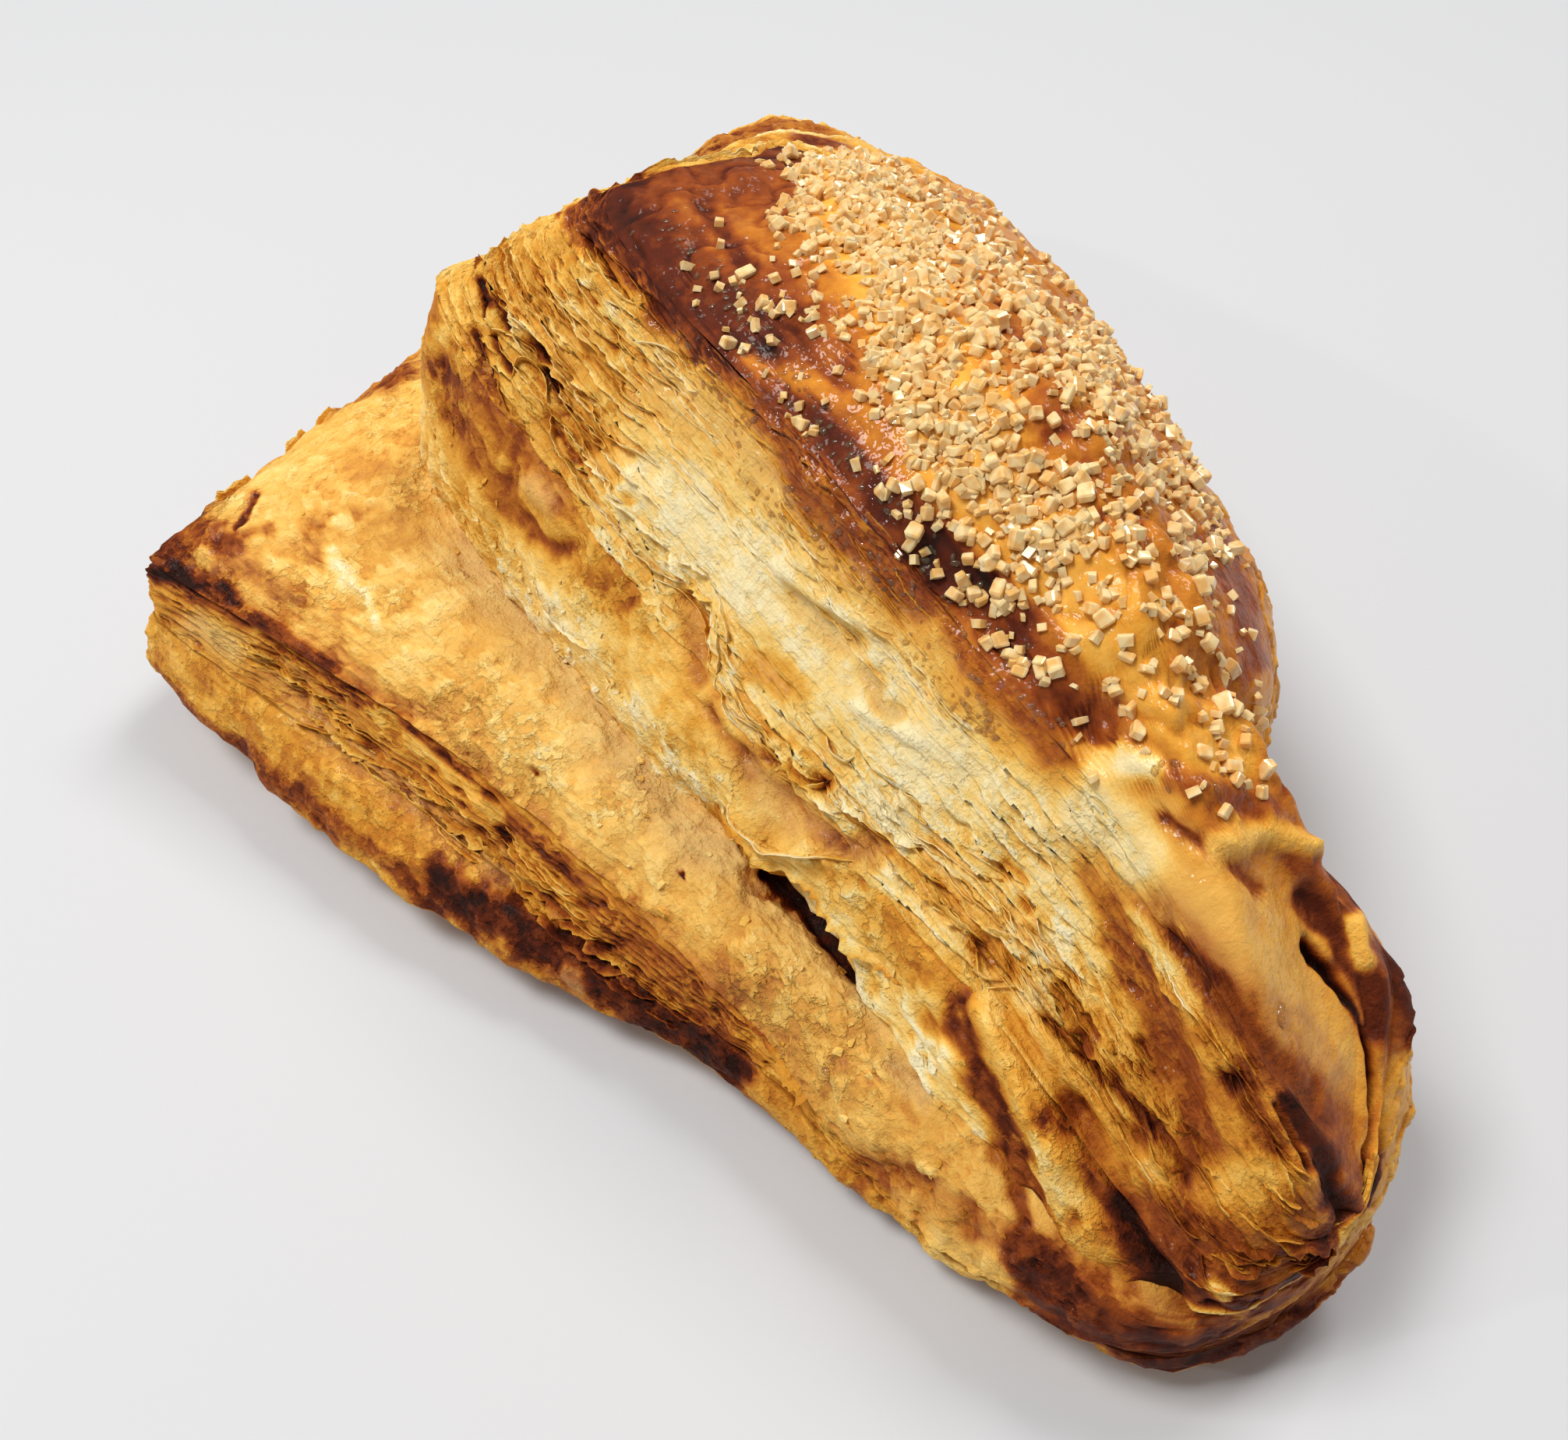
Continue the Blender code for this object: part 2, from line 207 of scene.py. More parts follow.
def periodic_curve(points, knots, u, corners=()):
    """A smooth closed curve through points, read at u: cubic pieces that share their slope at knots.

    The slope is cut down at the named corners, where the curve then turns sharply.
    """
    points = np.asarray(points, float)
    if points.ndim == 1:
        points = points[:, None]
    span = np.diff(np.append(knots, 1.0))[:, None]
    step = (np.roll(points, -1, 0) - points) / span
    before, span_before = np.roll(step, 1, 0), np.roll(span, 1, 0)
    slope = (before * span + step * span_before) / (span + span_before)
    slope *= 1 - np.array([CORNERS[name] if name in corners else 0.0 for name in STATIONS])[:, None]
    i = np.searchsorted(knots, u, side="right") - 1
    j = (i + 1) % len(points)
    t = (u[:, None] - knots[i][:, None]) / span[i]
    return ((2 * t**3 - 3 * t**2 + 1) * points[i] + (t**3 - 2 * t**2 + t) * span[i] * slope[i]
            + (3 * t**2 - 2 * t**3) * points[j] + (t**3 - t**2) * span[i] * slope[j])


def station_knots():
    """Where each station falls on the way round, from 0 to 1; corners get a little extra length."""
    edge = np.array([row[2] for row in STATIONS.values()], float)
    length = np.linalg.norm(np.roll(edge, -1, 0) - edge, axis=1) ** 0.75
    return np.concatenate([[0.0], np.cumsum(length)[:-1]]) / length.sum()


def column_places(count, rail):
    """count places round the crust from 0 to 1, evenly apart on a rail but closer where it is fine.

    They begin at the seam station, on the side that the photograph doesn't show.
    """
    knots = station_knots()
    u = np.arange(4000) / 4000
    curve = periodic_curve([row[1 + RAILS.index(rail)] for row in STATIONS.values()], knots, u,
                           CORNERS if rail in ("skin_edge", "ledge_edge") else ())
    length = np.linalg.norm(np.roll(curve, -1, 0) - curve, axis=1)
    weight = length * periodic_curve(FINENESS, knots, u)[:, 0]
    total = np.concatenate([[0.0], np.cumsum(weight)])
    places = np.interp(np.arange(count) / count * total[-1], total, np.append(u, 1.0))
    start = knots[list(STATIONS).index(SEAM_STATION)]
    places = np.sort((places + start) % 1.0)
    return places[np.argsort((places - start) % 1.0)]


def pastry_rails(u):
    """The nine curves that the bands lie between, from the underside's centre to the crown."""
    knots = station_knots()
    rows = list(STATIONS.values())
    openness = periodic_curve([row[0] for row in rows], knots, u)[:, 0].clip(0, 1)
    curve = {rail: periodic_curve([row[k + 1] for row in rows], knots, u,
                                  CORNERS if rail in ("skin_edge", "ledge_edge") else ())
             for k, rail in enumerate(RAILS)}
    centre = np.array([CROWN[0], CROWN[1], 0.0])
    inward = centre - curve["skin_edge"]
    inward[:, 2] = 0
    foot = curve["skin_edge"] + inward * (FOOT_INSET / np.linalg.norm(inward, axis=1))[:, None]
    foot[:, 2] = 0
    down = curve["skin_edge"] - curve["ledge_edge"]
    drop = np.linalg.norm(down, axis=1)
    strip_foot = curve["ledge_edge"] + down * np.minimum(STRIP_THICKNESS / drop, 0.5)[:, None]
    under = np.broadcast_to(centre, foot.shape)
    crown = np.broadcast_to(np.array(CROWN), foot.shape)
    return np.array([under, foot, curve["skin_edge"], strip_foot, curve["ledge_edge"],
                     curve["groove"], curve["lip"], curve["ridge"], crown]), openness


def band_points(chain, openness, band, t):
    """Rows of points up one band at each t: straight at an open edge, a smooth curve round the fold.

    The straight one is a plus t times b less a, and over the dome its rise follows a quarter sine.
    The curve is the cubic from a to b whose slopes come from the rails before and after them.
    """
    k = BANDS.index(band)
    last = len(chain) - 1
    a, b = chain[k], chain[k + 1]
    before, after = chain[max(k - 1, 1)], chain[min(k + 2, last)]
    t = t[:, None, None]
    straight = a + (b - a) * t
    if band == "dome":
        straight[..., 2] += (b - a)[:, 2] * DOME_ROUNDNESS * (np.sin(math.pi / 2 * t) - t)[..., 0]
    curved = (a + (b - before) * t / 2 + (2 * before - 5 * a + 4 * b - after) * t**2 / 2
              + (3 * a - before - 3 * b + after) * t**3 / 2)
    mix = openness[:, None] if k > 1 and band != "dome" else 1.0
    return mix * straight + (1 - mix) * curved


def normals_of(grid):
    """Outward unit normal at each point of a grid: its step up crossed with its step round."""
    round_it = np.roll(grid, -1, 1) - np.roll(grid, 1, 1)
    up_it = np.gradient(grid, axis=0)
    return unit(np.cross(up_it, round_it))


def route(path):
    """The points of a path that is written as pairs of photograph pixels, x,y and x,y."""
    return np.array([pair.split(",") for pair in path.split()], float)


def path_distance(x, y, path):
    """Distance in the plane from each point to the nearest straight piece of a path."""
    best = np.full(x.shape, np.inf)
    for (ax, ay), (bx, by) in zip(path, path[1:]):
        dx, dy = bx - ax, by - ay
        t = np.clip(((x - ax) * dx + (y - ay) * dy) / (dx * dx + dy * dy), 0, 1)
        best = np.minimum(best, np.hypot(x - ax - t * dx, y - ay - t * dy))
    return best


def camera_axes():
    """Unit vectors along the photograph's view, to its right and down its height."""
    azimuth, pitch = math.radians(CAMERA_AZIMUTH), math.radians(CAMERA_PITCH)
    level = np.array([-math.sin(azimuth), math.cos(azimuth), 0.0])
    ahead = level * math.cos(pitch) - np.array([0, 0, math.sin(pitch)])
    right = np.array([math.cos(azimuth), math.sin(azimuth), 0.0])
    return ahead, right, -np.cross(right, ahead)


def in_photo(points):
    """Where points fall in the photograph, in pixels, and how many pixels a millimetre takes there."""
    ahead, right, down = camera_axes()
    away = points - CAMERA_PLACE
    depth = away @ ahead
    x = PHOTO_SIZE[0] / 2 + FOCAL_PIXELS * (away @ right) / depth
    y = PHOTO_SIZE[1] / 2 + FOCAL_PIXELS * (away @ down) / depth
    return x, y, FOCAL_PIXELS / depth


def crust_patch(rows, columns, rail):
    """The bare form of some bands of the crust, with what the relief needs to know at each point.

    On the rails' loft stands each band's swell, a half sine up it, and the creases are pressed in:
    each sinks by its depth times e to the power of minus the squared distance over its reach.
    """
    u = column_places(columns, rail)
    chain, openness = pastry_rails(u)
    width = dict(zip(BANDS, np.linalg.norm(np.diff(chain, axis=0), axis=2)))
    grid, bands, places = [], [], []
    for band, count in rows.items():
        t = np.arange(count) / count
        if band == list(rows)[-1] and band != "dome":
            t = np.append(t, 1.0)
        grid.append(band_points(chain, openness, band, t))
        bands += [band] * len(t)
        places.append(t)
    grid, t = np.concatenate(grid), np.concatenate(places)
    bands = np.array(bands)
    up = normals_of(grid)
    up[(bands == "dome") & (t > 0)] = (0, 0, 1)
    height = np.zeros(grid.shape[:2])
    for band in rows:
        here = bands == band
        shallow = np.minimum(width[band] / FULL_RELIEF, 1.0)
        swell = PUFF.get(band, 0.0) * np.sin(math.pi * t[here])[:, None] * openness
        if band == "dome":
            swell = swell + DOME_RISE * np.sin(math.pi / 2 * t[here])[:, None]
        height[here] += swell * shallow
    top = np.isin(bands, ("ledge", "wall", "fan", "dome"))[:, None]
    for path, reach, depth in CREASES.values():
        away = path_distance(grid[..., 0], grid[..., 1], path)
        height -= depth * np.exp(-(away / reach) ** 2) * top
    grid = grid + up * height[..., None] + TO_BASE_CENTRE
    normal = normals_of(grid)
    step = np.linalg.norm(np.roll(grid, -1, 1) - grid, axis=2)
    x, y, pixels = in_photo(grid)
    faced = (normal * unit(CAMERA_PLACE - grid)).sum(2)
    across = np.array([width[b] for b in bands]) * t[:, None]
    return SimpleNamespace(
        grid=grid, normal=normal, rising=unit(np.gradient(grid, axis=0)), bands=bands, width=width,
        t=t[:, None] + np.zeros(x.shape), open=openness + np.zeros(x.shape),
        along=np.cumsum(step, axis=1), across=across, x=x, y=y, pixels=pixels,
        seen=ease(faced, 0.0, 0.15), wobble=noise(grid, 2.2, 77) + 0.6 * noise(grid, 0.9, 78),
        **{field: np.zeros(x.shape) for field in ("height", "lean") + FIELDS})


def touch(patch, path, width, sharp=2.0, ragged=0.3):
    """How much a mark along a photograph path covers each point: 1 on it, fading at width.

    It is e to the power of minus distance over width, raised to sharp; noise makes its edge ragged.
    """
    path = route(path)
    xs, ys = path.T
    reach = 3.5 * width * patch.pixels.max()
    near = ((patch.x > min(xs) - reach) & (patch.x < max(xs) + reach) & (patch.y > min(ys) - reach)
            & (patch.y < max(ys) + reach) & (patch.seen > 0))
    cover = np.zeros(patch.x.shape)
    away = path_distance(patch.x[near], patch.y[near], path) / patch.pixels[near]
    away = away * (1 + ragged * patch.wobble[near]) + 0.12 * patch.wobble[near]
    cover[near] = np.exp(-np.abs(away / width) ** sharp) * patch.seen[near]
    return cover


def put_marks(patch, marks):
    """Marks from the photograph: each lifts or presses the crust, bakes, glazes, pales it or paints shade.
    """
    for path, width, lift, bake, strength, *rest in marks.values():
        glaze, raw = (list(rest) + [None, None])[:2]
        cover = touch(patch, path, width)
        patch.height += lift * cover
        solid = np.minimum(touch(patch, path, width * 1.1, 3.5) * 1.1, 1.0)
        patch.bake += (bake - patch.bake) * solid * strength
        if glaze is not None:
            patch.glaze += (glaze - patch.glaze) * solid
        if raw is not None:
            patch.raw += (raw - patch.raw) * cover


def bed_leaves(patch, crust, depth, dark):
    """Sinks the crust along the foot of each loose leaf on it and darkens it there: painted contact shade.
    """
    for where, path, tall, *_ in LEAVES.values():
        if where == crust:
            cover = touch(patch, path, 0.75, 2.0, 0.4)
            patch.height -= depth * tall * cover
            patch.bake += dark * cover


def shade_hollows(patch, dark, light, times=7):
    """Painted shade and some browning in hollows, painted light on crests: softened less own height."""
    hollow = np.clip((soften(patch.height, times) - patch.height) / FULL_HOLLOW, -1, 1)
    patch.bake += np.where(hollow > 0, dark * hollow, light * hollow)


def settle(patch, first, last):
    """Joins a patch to its neighbours: first and last lift or tuck its border rows where it is open.

    Round the fold, where the crust runs on unbroken, its own relief fades out before the border,
    and so it does along the whole of a border with an amount of 0. Then comes relief that all the
    patches share, as noise at the same places, stronger on top.
    """
    step = np.linalg.norm(np.diff(patch.grid, axis=0), axis=2)
    rise = np.concatenate([np.zeros((1, step.shape[1])), np.cumsum(step, axis=0)])
    for away, amount in ((rise, first), (rise[-1] - rise, last)):
        if amount is not None:
            whole = 1.0 if amount else ease(away, 0.0, 1.6)
            keep = patch.open * whole + (1 - patch.open) * ease(away, 0.0, 3.0)
            patch.height *= keep
            patch.lean *= keep
            patch.height += amount * (1 - ease(away, 0.0, 0.7)) * ease(patch.open, 0.0, 0.3)
    patch.height += 0.55 * rough(patch.grid, 9.0, 61) + 0.16 * rough(patch.grid, 2.4, 62)
    patch.height += 0.26 * rough(patch.grid, 3.0, 65, 4) * ease(patch.grid[..., 2], 34.0, 46.0)


def closed_side(patch, bake, glaze, flaky):
    """Mixes a patch's own look with that of the unbroken crust round the fold, which all share."""
    open_share = ease(patch.open, 0.05, 0.55)
    shared = 0.55 + 0.12 * rough(patch.grid, 9.0, 63) + 0.05 * rough(patch.grid, 2.6, 64)
    shared += 0.10 * (1 - ease(patch.grid[..., 2], 2.0, 16.0))
    patch.bake += shared + (bake - shared) * open_share
    patch.glaze += 0.75 + (glaze - 0.75) * open_share
    patch.flaky += 0.15 + (flaky - 0.15) * open_share


def raised(patch):
    """The grid with its relief: out along the normal, and leaves leaning back down the slope."""
    return patch.grid + patch.normal * patch.height[..., None] - patch.rising * patch.lean[..., None]


def plates(points, size, seed, level=0.0, edge=0.08):
    """Islands of blistered skin with sharp edges: 1 where rough noise is above a level, else 0."""
    return ease(rough(points, size, seed, 4), level, level + edge)


def pores(patch, size, stretch, seed, wide=0.42):
    """Small round holes, drawn out along the layers: 1 in the middle of each, 0 between them."""
    lay = np.stack([patch.along / stretch, patch.across, 0 * patch.across + seed], -1)
    return 1 - ease(strewn(lay, size, seed), wide * 0.35, wide)


# ---------------------------------------------------------------- meshes

def new_piece(name, points, faces, material, fields=None, vectors=None, smooth=True, fold=None):
    """A piece from points in millimetres and its faces, with a value of each field at each point.

    A field may also be one value for all. Edges that turn by more than fold degrees are sharp.
    """
    mesh = bpy.data.meshes.new(name)
    mesh.from_pydata((np.asarray(points) * MM).tolist(), [], faces)
    for field, values in (fields or {}).items():
        made = mesh.attributes.new(field, "FLOAT", "POINT")
        made.data.foreach_set("value", np.full(len(mesh.vertices), values, np.float32))
    for field, values in (vectors or {}).items():
        made = mesh.attributes.new(field, "FLOAT_VECTOR", "POINT")
        made.data.foreach_set("vector", np.asarray(values, np.float32).ravel())
    mesh.polygons.foreach_set("use_smooth", np.full(len(mesh.polygons), smooth))
    if fold:
        mesh.set_sharp_from_angle(angle=math.radians(fold))
    mesh.materials.append(material)
    piece = bpy.data.objects.new(name, mesh)
    bpy.context.scene.collection.objects.link(piece)
    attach(piece, BODY)
    return piece


def closed_faces(rows, columns):
    """Faces of a grid whose columns close on themselves, shut by two more points at its ends.

    Four-sided ones run between each two rows, and three-sided ones from the first row to the first
    of the points and from the last row to the second.
    """
    j = np.arange(columns)
    k = (j + 1) % columns
    low = (np.arange(rows - 1) * columns)[:, None]
    sides = np.stack([low + j, low + columns + j, low + columns + k, low + k], -1).reshape(-1, 4)
    first, last = rows * columns + 0 * j, (rows - 1) * columns
    ends = np.concatenate([np.stack([first, j, k], 1), np.stack([first + 1, last + k, last + j], 1)])
    return sides.tolist() + ends.tolist()


def closed_crust(name, patch, material, below, above):
    """The raised patch as one closed mesh, its first and last rows each drawn in to one point.

    Each of the two takes its row's mean look, and a place in the pattern of layers from the first row.
    """
    grid = raised(patch)
    crusts[name] = patch, grid
    points = [grid.reshape(-1, 3), np.array([below, above], float)]
    faces = closed_faces(*grid.shape[:2])
    fields = {}
    for field in FIELDS:
        values = getattr(patch, field)
        fields[field] = np.append(values.ravel(), [values[0].mean(), values[-1].mean()])
    lay = np.stack([patch.along, patch.across, patch.t], -1).reshape(-1, 3)
    lay = np.concatenate([lay, lay[:2]])
    return new_piece(name, np.concatenate(points), faces, material, fields, {"lay": lay}, fold=85)


def read_at(grid, i, j):
    """A grid's values at row i and column j, read between its points; columns close on themselves."""
    i = np.clip(i, 0, len(grid) - 1.001)
    low, left = np.floor(i).astype(int), np.floor(j).astype(int)
    up, on = i - low, j - left
    left, right = left % grid.shape[1], (left + 1) % grid.shape[1]
    if grid.ndim == 3:
        up, on = up[:, None], on[:, None]
    return ((grid[low, left] * (1 - on) + grid[low, right] * on) * (1 - up)
            + (grid[low + 1, left] * (1 - on) + grid[low + 1, right] * on) * up)


def evened(values, times=3):
    """A row of values averaged with their neighbours, its ends kept."""
    for _ in range(times):
        values = np.concatenate([values[:1], (values[:-2] + 2 * values[1:-1] + values[2:]) / 4,
                                 values[-1:]])
    return values


def places_on_path(patch, path, spacing=5.0):
    """Rows and columns of the patch that lie under a photograph path, every few pixels along it."""
    path = route(path)
    total = np.concatenate([[0], np.cumsum(np.hypot(*np.diff(path, axis=0).T))])
    at = np.linspace(0, total[-1], max(int(total[-1] / spacing) + 1, 6))
    xs, ys = np.interp(at, total, path[:, 0]), np.interp(at, total, path[:, 1])
    rows, columns = np.nonzero(patch.seen > 0.15)
    gap = ((patch.x[rows, columns][None] - xs[:, None]) ** 2
           + (patch.y[rows, columns][None] - ys[:, None]) ** 2)
    best = gap.argmin(1)
    return evened(rows[best].astype(float), 4), evened(columns[best].astype(float), 4)


def loose_leaf(patch, grid, i, j, tall, lean, curl, pale, seed):
    """A thin, ragged leaf of pastry that stands on the crust along places i, j of its grid.

    It rises along the normal by up to tall mm, leans up the slope by lean of its height and curls
    by curl; its height is torn by noise, and falls away to its ends as their distance to the power
    of 0.6. It is browner towards its edge, or paler by the share pale.
    """
    foot = read_at(grid, i, j)
    foot = np.stack([evened(foot[:, k]) for k in range(3)], 1)
    normal, uphill = (unit(read_at(part, i, j)) for part in (patch.normal, patch.rising))
    onward = unit(np.gradient(foot, axis=0))
    along = np.linspace(0, 1, len(foot))
    ends = np.minimum(1.0, np.minimum(along, 1 - along) * 6) ** 0.6
    torn = 0.80 + 0.3 * noise(foot, 2.6, seed) + 0.22 * noise(foot, 0.8, seed + 1)
    torn -= 0.5 * ease(noise(foot, 1.6, seed + 2), 0.25, 0.6)
    torn += 0.34 * noise(foot, 0.45, seed + 6)
    tall = tall * ends * np.clip(torn, 0.15, 1.15)
    sway = 0.35 * noise(foot, 4.0, seed + 3) + 0.2 * noise(foot, 1.3, seed + 4)
    sway += 0.15 * noise(foot, 0.5, seed + 7)
    levels = LEAF_LEVELS
    rise = ((tall[:, None] + LEAF_ROOT) * levels - LEAF_ROOT
            - 0.25 * tall[:, None] * abs(curl) * levels**3)
    shift = tall[:, None] * ((lean + sway[:, None]) * levels + curl * levels**2.5)
    middle = (foot[:, None] + normal[:, None] * rise[..., None] + uphill[:, None] * shift[..., None])
    half = unit(np.cross(onward[:, None], np.gradient(middle, axis=1))) * (LEAF_THICKNESS / 2)[:, None]
    rim = np.concatenate([middle + half, (middle - half)[:, ::-1]], axis=1)
    count, around = rim.shape[:2]
    k = np.arange(around)
    low = (np.arange(count - 1) * around)[:, None]
    faces = np.stack([low + k, low + (k + 1) % around, low + around + (k + 1) % around,
                      low + around + k], -1).reshape(-1, 4).tolist()
    faces += [list(k[::-1]), list((count - 1) * around + k)]
    here = read_at(patch.bake, i, j)
    toasted = 0.16 * ease(noise(foot, 3.5, seed + 5), 0.0, 0.6)
    bake = here[:, None] + toasted[:, None] * levels + 1.2 * pale * levels**2.5
    run = np.concatenate([[0], np.cumsum(np.linalg.norm(np.diff(foot, axis=0), axis=1))])
    lay = np.stack([run[:, None] + 0 * rise, rise + 0 * run[:, None], 0 * rise + seed], -1)
    return SimpleNamespace(
        points=rim.reshape(-1, 3), faces=outward(rim.reshape(-1, 3), faces),
        bake=np.concatenate([bake, bake[:, ::-1]], 1).ravel(),
        lay=np.concatenate([lay, lay[:, ::-1]], 1).reshape(-1, 3))


def outward(points, faces):
    """The faces as given, or all turned round if they enclose a negative volume."""
    volume = 0.0
    for size in {len(face) for face in faces}:
        ring = points[np.array([face for face in faces if len(face) == size])]
        for k in range(1, size - 1):
            volume += np.einsum("ij,ij->", ring[:, 0], np.cross(ring[:, k], ring[:, k + 1]))
    return faces if volume > 0 else [face[::-1] for face in faces]


def joined(parts):
    """Several parts' points, faces and fields run together."""
    start = np.cumsum([0] + [len(part.points) for part in parts])
    faces = [[index + first for index in face] for part, first in zip(parts, start)
             for face in part.faces]
    return SimpleNamespace(points=np.concatenate([part.points for part in parts]), faces=faces,
                           bake=np.concatenate([part.bake for part in parts]),
                           lay=np.concatenate([part.lay for part in parts]))


def block_form(chamfer):
    """A block 2 across with chamfered edges: its 24 points and its 6 sides, 12 edges, 8 corners."""
    corners = list(itertools.product((-1, 1), repeat=3))
    points = np.array([[c[k] * (1 if k == axis else 1 - chamfer) for k in range(3)]
                       for c in corners for axis in range(3)], float)
    index = {(c, axis): 3 * n + axis for n, c in enumerate(corners) for axis in range(3)}
    faces = [[index[c, axis] for axis in range(3)] for c in corners]
    for a, b, c in ((0, 1, 2), (1, 2, 0), (2, 0, 1)):
        for side in (-1, 1):
            ring = []
            for first, second in ((-1, -1), (1, -1), (1, 1), (-1, 1)):
                corner = [0, 0, 0]
                corner[a], corner[b], corner[c] = side, first, second
                ring.append(index[tuple(corner), a])
            faces.append(ring)
            for other in (-1, 1):
                near, far = [0, 0, 0], [0, 0, 0]
                near[a], near[b], near[c] = side, other, -1
                far[a], far[b], far[c] = side, other, 1
                near, far = tuple(near), tuple(far)
                faces.append([index[near, a], index[far, a], index[far, b], index[near, b]])
    return points, [face if turn_of(points, face) > 0 else face[::-1] for face in faces]


def plain_block():
    """A block 2 across: its 8 points and 6 sides."""
    points = np.array(list(itertools.product((-1, 1), repeat=3)), float)
    sides = [(0, 1, 3, 2), (4, 6, 7, 5), (0, 4, 5, 1), (2, 3, 7, 6), (0, 2, 6, 4), (1, 5, 7, 3)]
    return points, [list(face) if turn_of(points, face) > 0 else list(face)[::-1] for face in sides]


def turn_of(points, face):
    """Positive where a face of a convex form about the origin runs the outward way round."""
    a, b, c = (points[index] for index in face[:3])
    return float(np.dot(np.cross(b - a, c - a), points[list(face)].mean(0)))


def bead_form(rings, around):
    """A ball of radius 1: its points, on rings evenly spaced between two poles, and its faces."""
    tilt = np.pi * np.arange(1, rings + 1) / (rings + 1)
    turn = 2 * np.pi * np.arange(around) / around
    ring = np.stack([np.sin(tilt)[:, None] * np.cos(turn), np.sin(tilt)[:, None] * np.sin(turn),
                     np.cos(tilt)[:, None] + 0 * turn], -1).reshape(-1, 3)
    return np.concatenate([ring, [[0, 0, 1], [0, 0, -1]]]), closed_faces(rings, around)


def repeated(form, places, turns, sizes):
    """Many copies of a form: each scaled, turned by its own three axes and put in its place."""
    points, faces = form
    made = np.einsum("nij,nkj->nki", turns, points[None] * sizes[:, None, :]) + places[:, None, :]
    shift = (np.arange(len(places)) * len(points)).tolist()
    return made.reshape(-1, 3), [[index + first for index in face] for first in shift for face in faces]


def scattered(density, seed, spacing):
    """Random places on the crusts: density gives grains for each square millimetre of a crust.

    Returns places, normals, random numbers and the bake there. A place goes if an earlier one is
    nearer than spacing.
    """
    random = np.random.default_rng(seed)
    places, normals, bakes = [], [], []
    for name, share in density.items():
        patch, grid = crusts[name]
        across = np.roll(grid, -1, 1) - grid
        up = np.gradient(grid, axis=0)
        area = np.linalg.norm(np.cross(up, across), axis=2)
        area[-1] = 0
        expected = (area * share).ravel()
        count = random.poisson(expected.sum())
        cell = random.choice(expected.size, count, p=expected / expected.sum())
        i, j = cell // grid.shape[1] + random.random(count), cell % grid.shape[1] + random.random(count)
        places.append(read_at(grid, i, j))
        normals.append(read_at(normals_of(grid), i, j))
        bakes.append(read_at(patch.bake, i, j))
    order = random.permutation(sum(len(part) for part in places))
    places, normals, bakes = (np.concatenate(parts)[order] for parts in (places, normals, bakes))
    spots = places.astype(np.float32)
    apart = sum((spots[:, None, axis] - spots[None, :, axis]) ** 2 for axis in range(3))
    clear = ~np.tril(apart < spacing**2, -1).any(1)
    return places[clear], normals[clear], random, bakes[clear]


def facing(normals, random):
    """Turns whose third axis is each normal, with the other two at a random angle round it."""
    side = unit(np.cross(normals, random.normal(size=normals.shape)))
    return np.stack([side, np.cross(normals, side), normals], -1)


# ---------------------------------------------------------------- materials

def node(tree, kind, inputs=(), output=0, **settings):
    """Adds one node and gives one of its outputs.

    Its inputs, in order or by name, take values or other nodes' outputs, and settings are its own.
    """
    made = tree.nodes.new("ShaderNode" + kind)
    for key, value in settings.items():
        setattr(made, key, value)
    for key, value in inputs.items() if isinstance(inputs, dict) else enumerate(inputs):
        if isinstance(value, bpy.types.NodeSocket):
            tree.links.new(value, made.inputs[key])
        else:
            made.inputs[key].default_value = value
    return made.outputs[output]


def new_material(name, finish):
    """A material with its node tree and its shader, whose own sockets take the values of a finish."""
    material = bpy.data.materials.new(name)
    material.use_nodes = True
    shader = material.node_tree.nodes["Principled BSDF"]
    for socket, value in finish.items():
        shader.inputs[socket].default_value = value
    return material, material.node_tree, shader


# ---------------------------------------------------------------- settings and finishes

# Where each stage of browning stands from 0, unbaked, to 1, burnt.
BAKE_STOPS = {
    "raw": (0.00, "#F9EABC"), "blond": (0.16, "#F8D480"), "straw": (0.30, "#EEBA58"),
    "gold": (0.44, "#DE9E38"), "amber": (0.57, "#C27A24"), "toast": (0.70, "#964A16"),
    "dark": (0.84, "#5C2209"), "scorched": (1.00, "#260D06"),
}
# Dull crumb that lets a little light in, under a clear and very smooth coat of baked egg wash.
PASTRY_FINISH = {
    "Roughness": 0.62, "Specular IOR Level": 0.12, "Coat Roughness": 0.03, "Coat IOR": 1.45,
    "Subsurface Weight": 0.12, "Subsurface Radius": (1.0, 0.55, 0.2), "Subsurface Scale": 0.0012,
}
# Smooth-faced crystals, cloudy enough to glow where light enters them.
SUGAR_FINISH = {
    "Roughness": 0.06, "IOR": 1.48, "Transmission Weight": 0.10, "Subsurface Weight": 0.45,
    "Subsurface Radius": (1.0, 1.0, 0.9), "Subsurface Scale": 0.0004,
}
# Syrup is clear, refracts a little more than water and sets as smooth as glass.
SYRUP_FINISH = {
    "Base Color": linear("#FBE6B4"), "Roughness": 0.03, "IOR": 1.42, "Transmission Weight": 0.95,
}


def colour_setting(name, description, code):
    """A colour that a user can change, with an sRGB hex default."""
    return FloatVectorProperty(name=name, description=description, subtype="COLOR", size=4,
                               min=0, max=1, default=linear(code))


class TurnoverColours(bpy.types.PropertyGroup):
    """Colours of the loose parts of the finish"""
    sugar: colour_setting("Sugar", "Colour of the coarse cane sugar", "#FFE0A8")
    glaze: colour_setting("Glaze", "Tint that the baked egg wash gives the crust", "#FFE28C")
    # The colour of damp, unbaked pastry, darkened with painted shade for the hollows it lies in.
    shaded_dough: colour_setting("Dough", "Damp, unbrowned dough in the folds", "#D8C28C")
    floor: colour_setting("Floor", "Colour of the plain floor", "#CACCD0")


